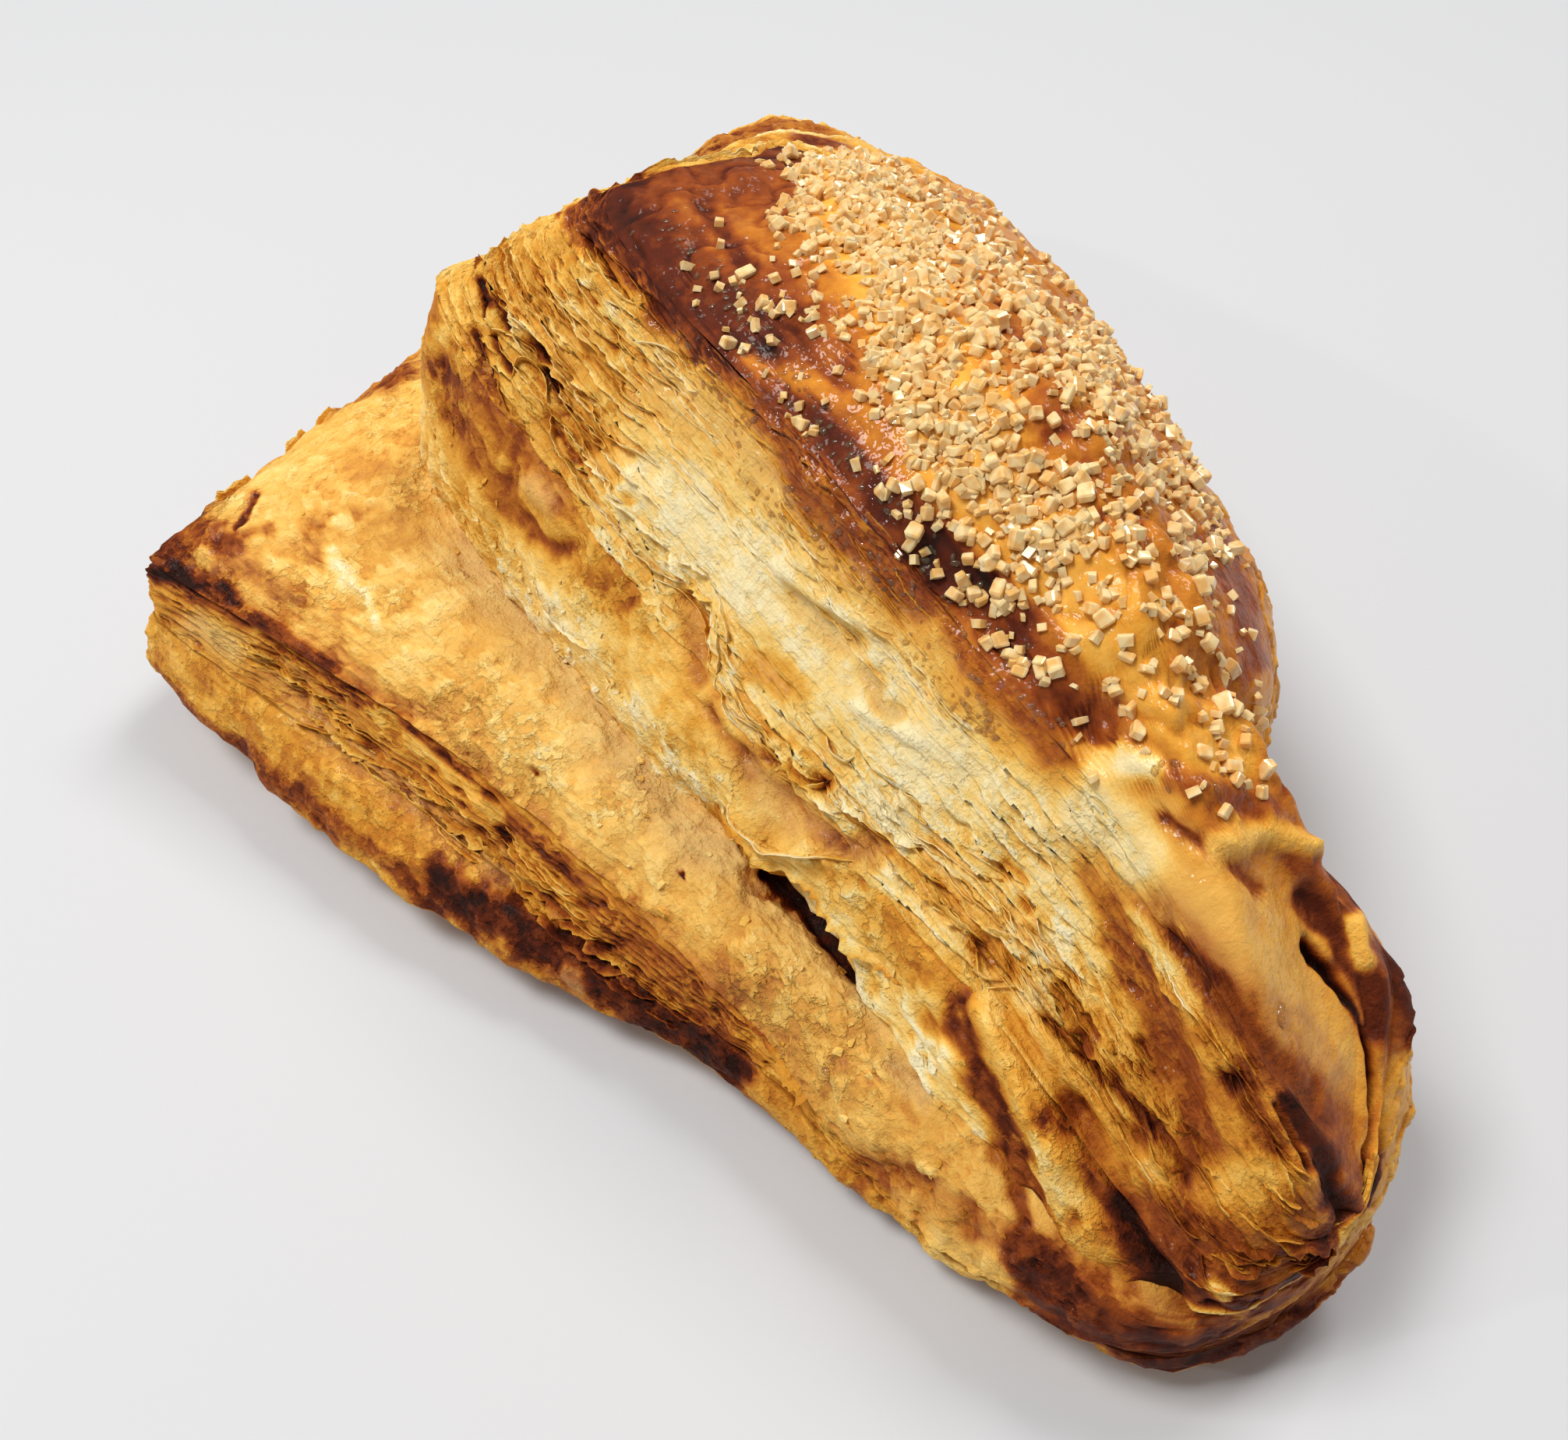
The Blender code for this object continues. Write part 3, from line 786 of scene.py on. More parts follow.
class TurnoverSugar(bpy.types.PropertyGroup):
    """How much sugar is strewn and how coarse it is"""
    cover: FloatProperty(
        name="Cover", description="How thickly the sugar is strewn, where 1 is as photographed",
        default=1.0, min=0.0, max=3.0)
    smallest: FloatProperty(
        name="Smallest", description="Width of the smallest grain", default=0.0005, unit="LENGTH")
    largest: FloatProperty(
        name="Largest", description="Width of the largest grain", default=0.00135, unit="LENGTH")
    seed: IntProperty(name="Seed", description="Which of the random strewings is used", default=7)


class TurnoverSettings(bpy.types.PropertyGroup):
    """All of the turnover's settings"""
    colours: PointerProperty(type=TurnoverColours)
    sugar: PointerProperty(type=TurnoverSugar)


def pastry_material(name, fibre_depth):
    """Baked puff pastry: milled wheat and butter, browned from cream to near black.

    Its dull, slightly translucent crumb scatters light; where egg wash was brushed on it a clear
    coat gives sharp highlights. fibre_depth is how deep the strands between the layers are cut.
    """
    colours = bpy.context.scene.turnover.colours
    material, tree, shader = new_material(name, PASTRY_FINISH)
    add = partial(node, tree)
    place = add("TexCoord", output="Object")
    lay = add("Attribute", output="Vector", attribute_name="lay")
    bake, glaze, fibre, raw, flaky = (
        add("Attribute", output="Fac", attribute_name=field) for field in FIELDS)

    # Sizes: mottling 6 mm across, patches of strands 4.5 mm, flakes of blistered skin 2.4 mm, lumps
    # in the glaze 2.1 mm, freckles 1.1 mm, crumbs 1 mm, bubbles in the glaze 0.6 mm, grain 0.35 mm.
    mottle, patches, flakes, lumps, freckle, crumbs, bubbles, grain = (
        add("TexNoise", {"Vector": place, "Scale": 1 / size, "Detail": detail, "Roughness": 0.6}, "Fac")
        for size, detail in ((0.006, 3.0), (0.0045, 2.0), (0.0024, 5.0), (0.0021, 2.0),
                             (0.0011, 3.0), (0.0010, 4.0), (0.0006, 1.0), (0.00035, 2.0)))
    # Layers are drawn out along the edge: strands are about 0.3 mm thick and 7 mm long.
    drawn = add("Mapping", {"Vector": lay, "Scale": (1 / 7.0, 1 / 0.32, 3.0)})
    strands = add("TexNoise", {"Vector": drawn, "Scale": 1.0, "Detail": 3.0, "Roughness": 0.6}, "Fac")
    # Torn crumb between the layers: thin walls round holes about 2.4 mm long and 0.6 mm wide.
    warp = add("TexNoise", {"Vector": place, "Scale": 1 / 0.0012, "Detail": 2.0}, "Color")
    bent = add("VectorMath", (lay, warp), operation="ADD")
    spread = add("Mapping", {"Vector": bent, "Scale": (1 / 2.4, 1 / 0.6, 1.0)})
    walls = add("TexVoronoi", {"Vector": spread, "Scale": 1.0}, "Distance", feature="DISTANCE_TO_EDGE")
    # Each of these goes from 0 to 1 between two values of its field, with a smooth edge.
    flakes, crumbs, patches, webs, tanned, charred = (
        add("MapRange", {"Value": value, "From Min": low, "From Max": high}, "Result",
            interpolation_type="SMOOTHSTEP")
        for value, low, high in ((flakes, 0.47, 0.54), (crumbs, 0.48, 0.57), (patches, 0.42, 0.56),
                                 (walls, 0.04, 0.26), (bake, 0.45, 0.72), (bake, 0.58, 0.86)))

    add_up, times, times_plus = ({"operation": name} for name in ("ADD", "MULTIPLY", "MULTIPLY_ADD"))
    strands = add("Math", (add("Math", (strands, -0.5), **add_up), fibre), **times)
    webbed = add("Math", (patches, fibre), **times)
    lace = add("Math", (add("Math", (webs, -0.4), **add_up), webbed), **times)
    skin = add("Math", (crumbs, 0.6, add("Math", (flakes, -0.8), **add_up)), **times_plus)
    skin = add("Math", (skin, flaky), **times)

    browned = add("Math", (bake, -0.23), **add_up)
    for field, share in ((mottle, 0.26), (freckle, 0.20), (strands, 0.24), (lace, 0.15), (skin, -0.13)):
        browned = add("Math", (field, share, browned), **times_plus)
    crust_colour = add("ValToRGB", {"Fac": browned}, "Color")
    elements = crust_colour.node.color_ramp.elements
    while len(elements) < len(BAKE_STOPS):
        elements.new(0.5)
    for element, (at, code) in zip(elements, BAKE_STOPS.values()):
        element.position, element.color = at, linear(code)
    # Damp, unbaked pastry, its colour darkened with painted shade, shows where it is raw and not
    # browned, and the glaze tints what lies under it.
    unbrowned = add("Math", (tanned, -0.75, 0.75), **times_plus)
    damp = add("Mix", {"Factor": add("Math", (raw, unbrowned), **times), "A": crust_colour,
                       "B": colours.shaded_dough}, "Result", data_type="RGBA")
    tinted = add("Mix", {"Factor": add("Math", (glaze, 0.5), **times), "A": damp, "B": colours.glaze},
                 "Result", data_type="RGBA", blend_type="MULTIPLY")
    # Charred crust has lost most of its coat.
    coat = add("Math", (glaze, add("Math", (charred, -0.312, 0.52), **times_plus)), **times)

    # The glaze fills freckles and grain, and its own lumps and bubbles give the coat its relief.
    relief = add("Math", (grain, 0.45, add("Math", (freckle, 0.8), **times)), **times_plus)
    relief = add("Math", (relief, add("Math", (glaze, -0.75, 1.0), **times_plus)), **times)
    for field, share in ((strands, fibre_depth), (skin, 0.55), (lace, -0.5)):
        relief = add("Math", (field, share, relief), **times_plus)
    bump = add("Bump", {"Height": relief, "Strength": 0.85, "Distance": 0.0004})
    lumps = add("Math", (bubbles, 0.35, lumps), **times_plus)
    set_glaze = add("Bump", {"Height": lumps, "Strength": 0.8, "Distance": 0.00045})
    for value, socket in ((tinted, "Base Color"), (coat, "Coat Weight"), (bump, "Normal"),
                          (set_glaze, "Coat Normal")):
        tree.links.new(value, shader.inputs[socket])
    return material


def sugar_material():
    """Cane sugar in coarse crystals: cloudy, faintly amber, with flat faces that glint.

    Each crystal is paler in some places than in others, about 1 mm apart.
    """
    material, tree, shader = new_material("cane_sugar_crystal", SUGAR_FINISH)
    place = node(tree, "TexCoord", output="Object")
    uneven = node(tree, "TexNoise", {"Vector": place, "Scale": 1 / 0.0010, "Detail": 1.0}, "Fac")
    share = node(tree, "MapRange", {"Value": uneven, "From Min": 0.38, "From Max": 0.62}, "Result")
    shade = node(tree, "Mix", {"Factor": share, "A": bpy.context.scene.turnover.colours.sugar,
                               "B": linear("#EFBC70")}, "Result", data_type="RGBA")
    tree.links.new(shade, shader.inputs["Base Color"])
    return material


# ---------------------------------------------------------------- what the photograph shows

# Each mark's name: (path in photograph pixels, half width mm, lift mm, browning or painted shade,
# how strongly, and perhaps glaze and rawness). These lie on the lower flap and its ledge.
LOWER_MARKS = {
    "ledge runs pale to the groove": ("520,760 640,900 760,1020 880,1140", 5.5, 0.0, 0.22, 0.5),
    "pale groove": ("600,712 689,801 756,890 823,979 890,1069 935,1091", 3.0, -0.5, 0.36, 0.8, None, 0.7),
    "pale groove's front": ("980,1150 1050,1210 1110,1270 1140,1310", 2.0, -0.3, 0.28, 0.7, None, 0.5),
    # Painted shade in the grey hollow, and painted shadow under the overhanging flap and in its slit.
    "grey hollow": ("1150,1368 1170,1385 1186,1400", 1.0, -0.7, 0.55, 0.8, None, 0.8),
    "shade under the flap": ("970,1120 1010,1155 1060,1205 1100,1250", 1.2, -0.6, 0.60, 0.8, None, 0.4),
    "painted shadow in the slit under the flap": ("985,1120 1018,1148 1048,1182 1078,1215 1108,1248 "
        "1130,1280", 0.7, -1.6, 0.98, 0.95),
    "scorched free corner": ("186,722 215,732 245,745 285,762", 1.3, 0.3, 1.08, 0.98, 0.15),
    "brown top of the corner": ("200,712 225,700 262,694 300,704", 1.6, 0.2, 0.76, 0.85, 0.3),
    "browned corner": ("255,730 300,728 345,745", 1.5, 0.0, 0.60, 0.8),
    "dark edge of the corner": ("215,697 236,682", 0.9, 0.2, 0.88, 0.8),
    "rim by the corner": ("255,765 285,775 315,800", 0.9, 0.2, 0.80, 0.85),
    "streak by the corner": ("308,682 322,662 334,640", 0.4, -0.4, 0.82, 0.9, 0.5),
    "streak's tail": ("285,702 350,682", 0.6, 0.0, 0.72, 0.7),
    "red blots": ("372,757 392,775", 0.7, 0.1, 0.58, 0.7),
    "red blots above": ("405,720 415,700", 0.8, 0.1, 0.60, 0.7),
    "browned far edge": ("240,678 262,640 300,608 345,585 390,556 430,522 480,500 "
        "522,484", 1.5, 0.6, 0.74, 0.9, 0.1),
    "pale behind the far edge": ("350,618 420,566 500,528 545,505", 1.7, -0.2, 0.26, 0.8),
    "amber blot": ("455,606 488,606", 1.3, 0.2, 0.55, 0.7),
    "amber blot below": ("395,682 450,662", 1.0, 0.1, 0.60, 0.7),
    "gold under the upper flap": ("530,610 522,690", 1.7, 0.0, 0.46, 0.75),
    "pale tongue": ("426,712 438,735 455,752", 0.9, 0.5, 0.06, 0.9),
    "pale spots": ("352,725 358,728", 0.9, 0.3, 0.22, 0.85),
    "pale spot by the corner": ("262,718 266,722", 0.8, 0.3, 0.30, 0.85),
    "pale spot beyond": ("435,668 445,674", 0.8, 0.3, 0.12, 0.85),
    "pale flake": ("468,762 480,790 488,806", 0.5, 0.4, 0.10, 0.8),
    "brown rim of the ledge": ("325,790 400,840 450,880 500,915 550,958 600,1002 650,1045 700,1090 "
        "750,1132 800,1175 850,1222 900,1265 950,1315", 0.85, 0.2, 0.80, 0.95),
    "rim widens": ("760,1150 830,1225 900,1295 960,1350 1010,1400", 1.6, 0.0, 0.66, 0.88),
    "rim's front end": ("1000,1400 1040,1440", 0.9, 0.0, 0.70, 0.85),
    "rim shades into the ledge": ("450,862 560,940 650,1020 760,1125 850,1200", 0.9, 0.1, 0.52, 0.55),
    "orange patch": ("818,1165 842,1190", 1.5, 0.1, 0.62, 0.8),
    "orange patch in front": ("925,1240 965,1275", 1.6, 0.1, 0.58, 0.8),
    "speck": ("685,992 686,993", 0.25, -0.2, 0.90, 0.9),
    "second speck": ("874,1122 875,1124", 0.25, -0.2, 0.90, 0.9),
    "ledge turns gold in front": ("1000,1340 1080,1420 1150,1470 1220,1500", 4.0, 0.0, 0.42, 0.7),
    "rough brown patch": ("1112,1495 1150,1508 1185,1525", 1.3, -0.5, 0.66, 0.9),
    "rough brown patch in front": ("1240,1548 1245,1580", 1.0, -0.5, 0.68, 0.9),
    "brown hollow": ("1200,1540 1220,1560", 1.2, -0.3, 0.56, 0.8),
    "pale flakes": ("1180,1500 1195,1505", 0.6, 0.6, 0.16, 0.85),
    "pale flakes in front": ("1205,1590 1245,1625 1290,1620", 1.1, 0.4, 0.26, 0.8),
    "pale column": ("1205,1345 1202,1375 1198,1400", 0.6, 0.5, 0.30, 0.8),
    "brown pit": ("1160,1420 1172,1440", 0.5, -0.3, 0.55, 0.8),
    "dark front": ("1312,1590 1345,1620 1385,1655 1430,1690", 1.6, 0.0, 0.80, 0.9, 0.4),
    "foot of the red streak": ("1272,1450 1298,1505 1316,1565", 0.8, -0.4, 0.72, 0.9),
    "orange front": ("1375,1595 1408,1640 1436,1685", 1.2, 0.3, 0.58, 0.8, 0.3),
    "dark above the front rim": ("1350,1640 1400,1690 1450,1722 1520,1745 1600,1735 "
        "1680,1695", 1.9, 0.0, 0.86, 0.95, 0.4),
    "front rim": ("1380,1715 1440,1752 1500,1770 1545,1766", 0.35, 0.2, 0.50, 0.8, 0.4, 0.3),
    "nose's rim": ("1560,1752 1640,1732 1700,1684", 0.5, 0.2, 0.62, 0.8, 0.3),
    "upper skin": ("240,830 330,900 430,985", 1.8, 0.2, 0.44, 0.6, 0.3),
    "recess of the skin": ("350,860 430,945 520,1020 600,1088 660,1138", 1.5, -0.9, 0.54, 0.85, 0.2, 0.3),
    "grey blotch": ("250,800 300,830", 1.3, 0.0, 0.36, 0.7, None, 0.5),
    "amber blotch": ("268,862 275,870", 1.3, 0.1, 0.56, 0.7),
    "red blotch": ("385,1003 398,1008", 0.8, 0.0, 0.66, 0.8),
    "brown lower band": ("560,1140 640,1176 720,1215 800,1275 870,1325 940,1372", 2.0, 0.0, 0.91, 0.95),
    "brown lower edge": ("200,862 250,915 300,960 350,995 420,1050 500,1108 "
        "560,1160", 0.8, 0.2, 0.74, 0.85),
    "pale blotch": ("730,1245 750,1265", 0.7, 0.1, 0.50, 0.7, None, 0.5),
    "pale lower flakes": ("760,1292 800,1322 850,1352", 0.7, 0.3, 0.46, 0.8),
    # The two holes in the strip are sunk and darkened with painted shadow.
    "hole in the strip": ("505,935 508,938", 0.5, -0.8, 0.88, 0.9),
    "hole further on": ("640,1065 645,1075", 0.6, -0.8, 0.80, 0.9),
    "pale in the strip": ("480,915 560,975 640,1050", 0.5, 0.2, 0.24, 0.75),
    "back flap's edge": ("835,238 880,200 940,160 1000,142 1060,152 1110,168", 0.9, 0.2, 0.64, 0.8),
    "back flap's brown corner": ("1150,205 1200,235 1250,275", 2.6, 0.0, 0.70, 0.9),
    "back flap browned": ("860,215 950,170 1050,165 1150,205", 3.0, 0.0, 0.68, 0.9),
}
# The same for the upper flap, its opened layers and the glazed back
UPPER_MARKS = {
    # the wall, under the lip
    "bulge's edge": ("530,480 536,420 556,365", 1.4, 0.3, 0.52, 0.8),
    "pale patches of the bulge": ("570,425 582,450", 0.8, 0.1, 0.22, 0.8),
    "smooth brown valley": ("562,470 592,545 640,625 682,685 715,702", 1.1, -0.5, 0.69, 0.85),
    "brown under the lip": ("608,430 628,500 655,560 690,600 720,640", 1.1, -0.3, 0.67, 0.8),
    "brown by the blisters": ("735,640 742,665", 0.9, 0.0, 0.64, 0.85),
    "blister": ("688,622 704,645", 1.0, 0.8, 0.50, 0.85, None, 0.4),
    "small blister": ("700,684 730,682", 0.8, 0.7, 0.36, 0.85),
    "amber patch": ("752,735 785,768 812,765", 1.1, -0.1, 0.55, 0.9),
    "amber patch's rim": ("765,780 795,786 815,770", 0.35, 0.2, 0.64, 0.9),
    "pale mottles": ("830,800 850,850 880,900", 1.5, 0.1, 0.26, 0.6),
    "orange stripes": ("890,880 860,905", 0.5, 0.2, 0.52, 0.8),
    "orange stripes below": ("900,925 870,945", 0.5, 0.2, 0.50, 0.8),
    "ragged brown edge": ("915,1045 940,1075 985,1108 1000,1120", 0.9, 0.3, 0.58, 0.8),
    "flap's crest": ("950,1040 984,1078 1029,1096 1073,1104 1113,1109", 0.6, 0.9, 0.30, 0.95, 0.2),
    "orange of the front wall": ("1140,1175 1180,1225 1215,1260", 1.8, 0.1, 0.50, 0.8),
    "pale ring": ("1192,1270 1215,1292 1218,1320 1205,1332", 0.5, 0.5, 0.20, 0.8),
    "orange in the ring": ("1192,1295 1195,1310", 0.6, -0.3, 0.52, 0.8),
    # the smooth valley between the lip and the leaves
    "upper valley": ("872,765 884,800 888,835 895,872", 1.1, -1.2, 0.47, 0.95, 0.2, 0.2),
    "valley's throat": ("905,905 920,930 940,962", 0.6, -1.0, 0.52, 0.95, 0.2, 0.2),
    "lower valley": ("950,975 985,1015 1030,1055 1075,1085 1110,1092", 1.3, -1.3, 0.50, 0.95, 0.2, 0.35),
    "pale in the valley": ("968,1018 1000,1050 1020,1072", 0.7, -0.2, 0.26, 0.8, None, 0.4),
    # the fan's upper leaves, with near-black painted shadow in the cracks, gaps and hole among them
    "crack at the lip": ("612,352 617,382 620,405", 0.3, -1.1, 0.97, 0.95),
    "gap behind the lip": ("607,425 616,455 628,490", 0.26, -0.8, 0.86, 0.9),
    "second gap": ("638,382 646,405 650,418", 0.3, -1.0, 0.94, 0.95),
    "second gap runs on": ("628,425 640,450 656,480", 0.24, -0.8, 0.84, 0.9),
    "third gap": ("662,395 676,420 690,445", 0.26, -0.9, 0.84, 0.9),
    "deep gap": ("682,440 698,470 708,500 715,525", 0.42, -1.2, 0.82, 0.95),
    "warm floor of the gap": ("712,520 740,548 760,570", 0.6, -0.4, 0.60, 0.8),
    "gap in the loop": ("708,552 722,572 735,588", 0.3, -0.7, 0.72, 0.9),
    "far gap": ("756,300 768,325 785,352 800,376", 0.28, -0.9, 0.86, 0.9),
    "far gold leaf": ("752,325 772,358 795,384 825,392", 0.5, 0.7, 0.26, 0.85),
    "cream leaf": ("785,395 812,425 850,452", 1.0, 0.2, 0.14, 0.8),
    "bubble": ("806,632 815,646", 1.1, 0.8, 0.24, 0.85),
    "hole in the bubble": ("812,640 818,645", 0.35, -0.8, 0.72, 0.9),
    "gold behind the bubble": ("750,640 775,665", 1.0, 0.0, 0.34, 0.7),
    "pale slope": ("825,560 870,600 900,640", 2.0, 0.0, 0.20, 0.7),
    # the pale, drawn-out middle
    "pale middle": ("860,640 930,700 1000,770 1080,850 1160,920 1220,975", 3.4, 0.0, 0.04, 0.9),
    "bright crest": ("1002,722 1022,745 1050,765 1085,782 1125,802", 0.55, 0.8, 0.00, 0.95),
    "bright crest in front": ("1105,903 1140,925 1175,945", 0.6, 0.7, 0.00, 0.95),
    "grey hollow of the middle": ("1028,768 1055,795 1088,822", 1.2, -0.8, 0.30, 0.8, 0.3, 0.9),
    "second grey hollow": ("1108,862 1122,882", 0.8, -0.8, 0.34, 0.8, 0.3, 0.9),
    "third grey hollow": ("1128,902 1150,918", 0.6, -0.7, 0.36, 0.8, 0.3, 0.9),
    "olive band": ("850,490 900,535 960,580 1030,660 1100,735 1180,800", 2.0, -0.2, 0.28, 0.85, 0.7, 0.5),
    "olive band's front": ("1180,800 1230,880 1290,940", 1.2, 0.0, 0.32, 0.8, 0.8, 0.1),
    "amber under the ridge": ("1215,800 1250,860 1300,930 1345,985 "
        "1385,1000", 1.6, 0.1, 0.32, 0.95, 0.9, 0.0),
    "gold patch": ("975,850 1010,880", 1.4, -0.2, 0.47, 0.85, 0.2),
    "amber stripe": ("955,895 1000,940 1040,975", 0.7, 0.2, 0.52, 0.7),
    "torn loops": ("985,965 1020,990 1060,1000", 0.9, -0.3, 0.62, 0.85),
    "pink strip": ("1000,952 1025,965 1045,978", 0.4, 0.5, 0.26, 0.9),
    "dark speck": ("1053,1000 1058,1001", 0.3, -0.6, 0.98, 0.95),
    "amber run": ("1090,1045 1130,1075 1170,1110", 0.5, -0.3, 0.60, 0.8),
    "amber leaf": ("1185,1120 1220,1150 1255,1180", 1.2, -0.3, 0.42, 0.9, 0.3),
    "glassy leaf": ("1262,1212 1290,1240", 0.9, -0.7, 0.58, 0.9, 0.4),
    "glassy leaf in front": ("1362,1270 1385,1300 1400,1322", 0.8, -0.7, 0.62, 0.9, 0.4),
    # the brown folds in front
    "red-brown streak": ("1238,1300 1252,1350 1270,1405 1292,1455 1314,1500 1332,1545 "
        "1345,1590", 1.3, -0.6, 0.78, 0.95),
    "gold ridge": ("1262,1300 1282,1350 1312,1400 1342,1450 1362,1490", 1.1, 1.2, 0.34, 0.9),
    "smooth valley's start": ("1284,1280 1310,1330 1345,1385 1375,1430", 0.7, -0.9, 0.47, 0.9, 0.3),
    "smooth valley": ("1378,1425 1410,1482 1440,1545 1468,1605 1492,1665", 2.1, -1.8, 0.71, 0.95, 0.5),
    "valley's dark end": ("1445,1572 1472,1632 1502,1700", 2.7, -1.3, 0.93, 0.97, 0.2),
    "pale tongue": ("1345,1505 1362,1538 1385,1572", 1.2, 0.6, 0.18, 0.9, 0.4),
    "orange below the tongue": ("1375,1578 1402,1615 1425,1650", 1.0, 0.5, 0.52, 0.85, 0.3),
    "dark below the streak": ("1312,1588 1345,1622 1388,1660", 1.3, -0.2, 0.84, 0.9, 0.4),
    "crest over the valley": ("1335,1320 1375,1375 1412,1430 1440,1485", 0.7, 0.9, 0.40, 0.85),
    "orange slope": ("1435,1500 1465,1545 1490,1590", 1.3, 0.4, 0.56, 0.85, 0.3),
    "pale on the slope": ("1472,1500 1486,1516", 0.6, 0.3, 0.16, 0.8),
    "brown cleft": ("1345,1308 1385,1350 1430,1400 1470,1440 1505,1482 1522,1512", 0.38, -1.0, 0.74, 0.9),
    "brown beside the cleft": ("1485,1340 1510,1390 1525,1440 1530,1500", 1.2, -0.3, 0.66, 0.85),
    "frosted red streak": ("1400,1110 1425,1170 1450,1235 1475,1285 1500,1350 1525,1400 "
        "1545,1470", 1.4, -0.5, 0.71, 0.92, 0.5),
    "bright strand": ("1488,1240 1515,1270 1545,1300 1565,1335", 0.6, 0.5, 0.18, 0.85),
    "dark beside the lobe": ("1450,1155 1500,1210 1545,1258", 0.5, -0.7, 0.70, 0.85, 0.2),
    "porous gold band": ("1545,1325 1590,1400 1625,1460 1650,1530", 1.2, 0.2, 0.58, 0.85),
    # The hole and the slit in the band are sunk and darkened with painted shadow.
    "hole in the band": ("1572,1385 1580,1392", 0.5, -1.0, 0.88, 0.9),
    "slit in the band": ("1640,1420 1662,1460 1680,1500", 0.3, -0.9, 0.84, 0.9),
    "brown hollow of the band": ("1592,1385 1608,1425 1640,1475", 1.0, -0.5, 0.77, 0.9),
    "pale front": ("1580,1530 1620,1510", 1.7, 0.0, 0.30, 0.8),
    "brown nose": ("1540,1610 1600,1640 1660,1640 1700,1600", 3.0, 0.0, 0.72, 0.85, 0.3),
    "dark nose": ("1560,1690 1620,1690 1680,1665 1720,1620", 1.5, -0.3, 0.86, 0.9, 0.4),
    # The hole in the nose and the dark loop are sunk and darkened with painted shadow.
    "hole in the nose": ("1622,1682 1634,1686", 0.55, -1.6, 0.99, 0.98),
    "pale loop": ("1556,1650 1572,1662", 0.5, 0.7, 0.18, 0.9),
    "dark loop": ("1560,1690 1585,1705", 0.5, -0.9, 0.92, 0.9),
    "dark right of the nose": ("1690,1620 1730,1585 1750,1530", 1.8, 0.0, 0.94, 0.92, 0.3),
    # the glazed back
    "dome's gold": ("1090,250 1150,380 1200,500 1280,620 1350,720 1430,800", 4.2, 0.0, 0.30, 0.85),
    "gold flank": ("1430,820 1500,900 1560,970", 2.6, 0.1, 0.34, 0.85),
    "brown right side": ("1400,440 1470,580 1530,720 1570,820", 4.0, 0.0, 0.62, 0.75),
    "dark right edge": ("1560,680 1600,760 1612,850", 1.2, -0.2, 0.78, 0.8),
    "amber shoulder": ("950,300 1010,340 1060,400 1100,470 1130,520", 2.2, 0.3, 0.60, 0.85, 0.9),
    "scorched ridge": ("795,285 840,338 890,388 945,422 1000,432", 3.4, 0.3, 0.84, 0.97, 1.0),
    "black corner": ("790,275 820,300", 1.0, 0.2, 0.88, 0.9, 1.0),
    "brown top": ("850,246 900,240 950,240 1000,258", 2.2, 0.2, 0.76, 0.9, 0.8),
    "dark far top": ("1030,185 1080,182", 1.2, 0.1, 0.82, 0.8, 0.6),
    "streak over the top": ("905,260 935,310 960,350", 1.0, -0.3, 0.84, 0.85, 0.9),
    "red band under the ridge": ("985,500 1025,575 1075,655 1125,715 1185,765", 2.3, 0.0, 0.70, 0.95, 0.9),
    "dark ridge line": ("1020,510 1055,540 1090,585 1120,620 1165,655", 1.2, 0.2, 0.84, 0.95, 1.0),
    "rough shoulder": ("975,475 1020,470 1050,500", 1.2, 0.5, 0.52, 0.85, 1.0),
    "black ridge": ("1195,705 1230,735 1265,770 1295,800", 1.9, -0.2, 0.93, 0.98, 1.0),
    "dark lower ridge": ("1300,825 1340,865 1375,905 1400,935", 1.5, 0.1, 0.82, 0.95, 1.0),
    "rough red under the ridge": ("1235,800 1270,855 1315,905 1360,960", 1.7, 0.4, 0.70, 0.88, 1.0),
    "mauve beside the ridge": ("1300,780 1340,800 1390,880 1440,930", 1.1, 0.0, 0.70, 0.7, 0.7),
    "red fold at the waist": ("1460,978 1520,1002 1580,1022 1625,1045", 0.8, 0.5, 0.72, 0.9, 0.9),
    "cream head of the lobe": ("1402,990 1432,980 1475,985", 1.1, 0.3, 0.00, 0.95, 0.4),
    "yellow gloss": ("1455,1025 1500,1030", 0.8, 0.0, 0.34, 0.85, 0.8),
    "lobe's gold": ("1400,1055 1470,1105 1550,1180 1630,1265 1700,1360", 3.0, 0.3, 0.33, 0.92, 0.9, 0.35),
    "lobe's pale head": ("1395,1045 1440,1075 1470,1100", 1.9, 0.0, 0.02, 0.92, 0.5, 0.0),
    "lobe's orange flank": ("1500,1175 1570,1260 1630,1340 1690,1430", 1.7, 0.0, 0.60, 0.9, 0.7),
    "lobe's light streak": ("1660,1200 1700,1270 1735,1340 1748,1420", 0.7, 0.0, 0.42, 0.8),
    "lobe's amber middle": ("1600,1270 1650,1310 1690,1340 1720,1400", 1.2, 0.0, 0.56, 0.8),
    "lobe's red tip": ("1690,1420 1730,1500 1745,1550", 1.7, 0.0, 0.70, 0.9, 0.5),
    "brown flank of the lobe": ("1500,1205 1560,1265 1612,1335 1655,1385 "
        "1690,1440", 1.05, -0.8, 0.76, 0.92, 0.2),
    # Painted shadow in the sunk gap beside the lobe.
    "black beside the lobe": ("1650,1408 1680,1455 1705,1505 1730,1565", 0.6, -0.9, 0.92, 0.95, 0.1),
    "dark foot of the lobe": ("1722,1545 1742,1580 1755,1605", 1.2, -0.4, 0.95, 0.95, 0.1),
    "crease over the lobe": ("1490,1050 1530,1075 1570,1100 1610,1140", 0.4, -0.6, 0.66, 0.85, 0.3),
}
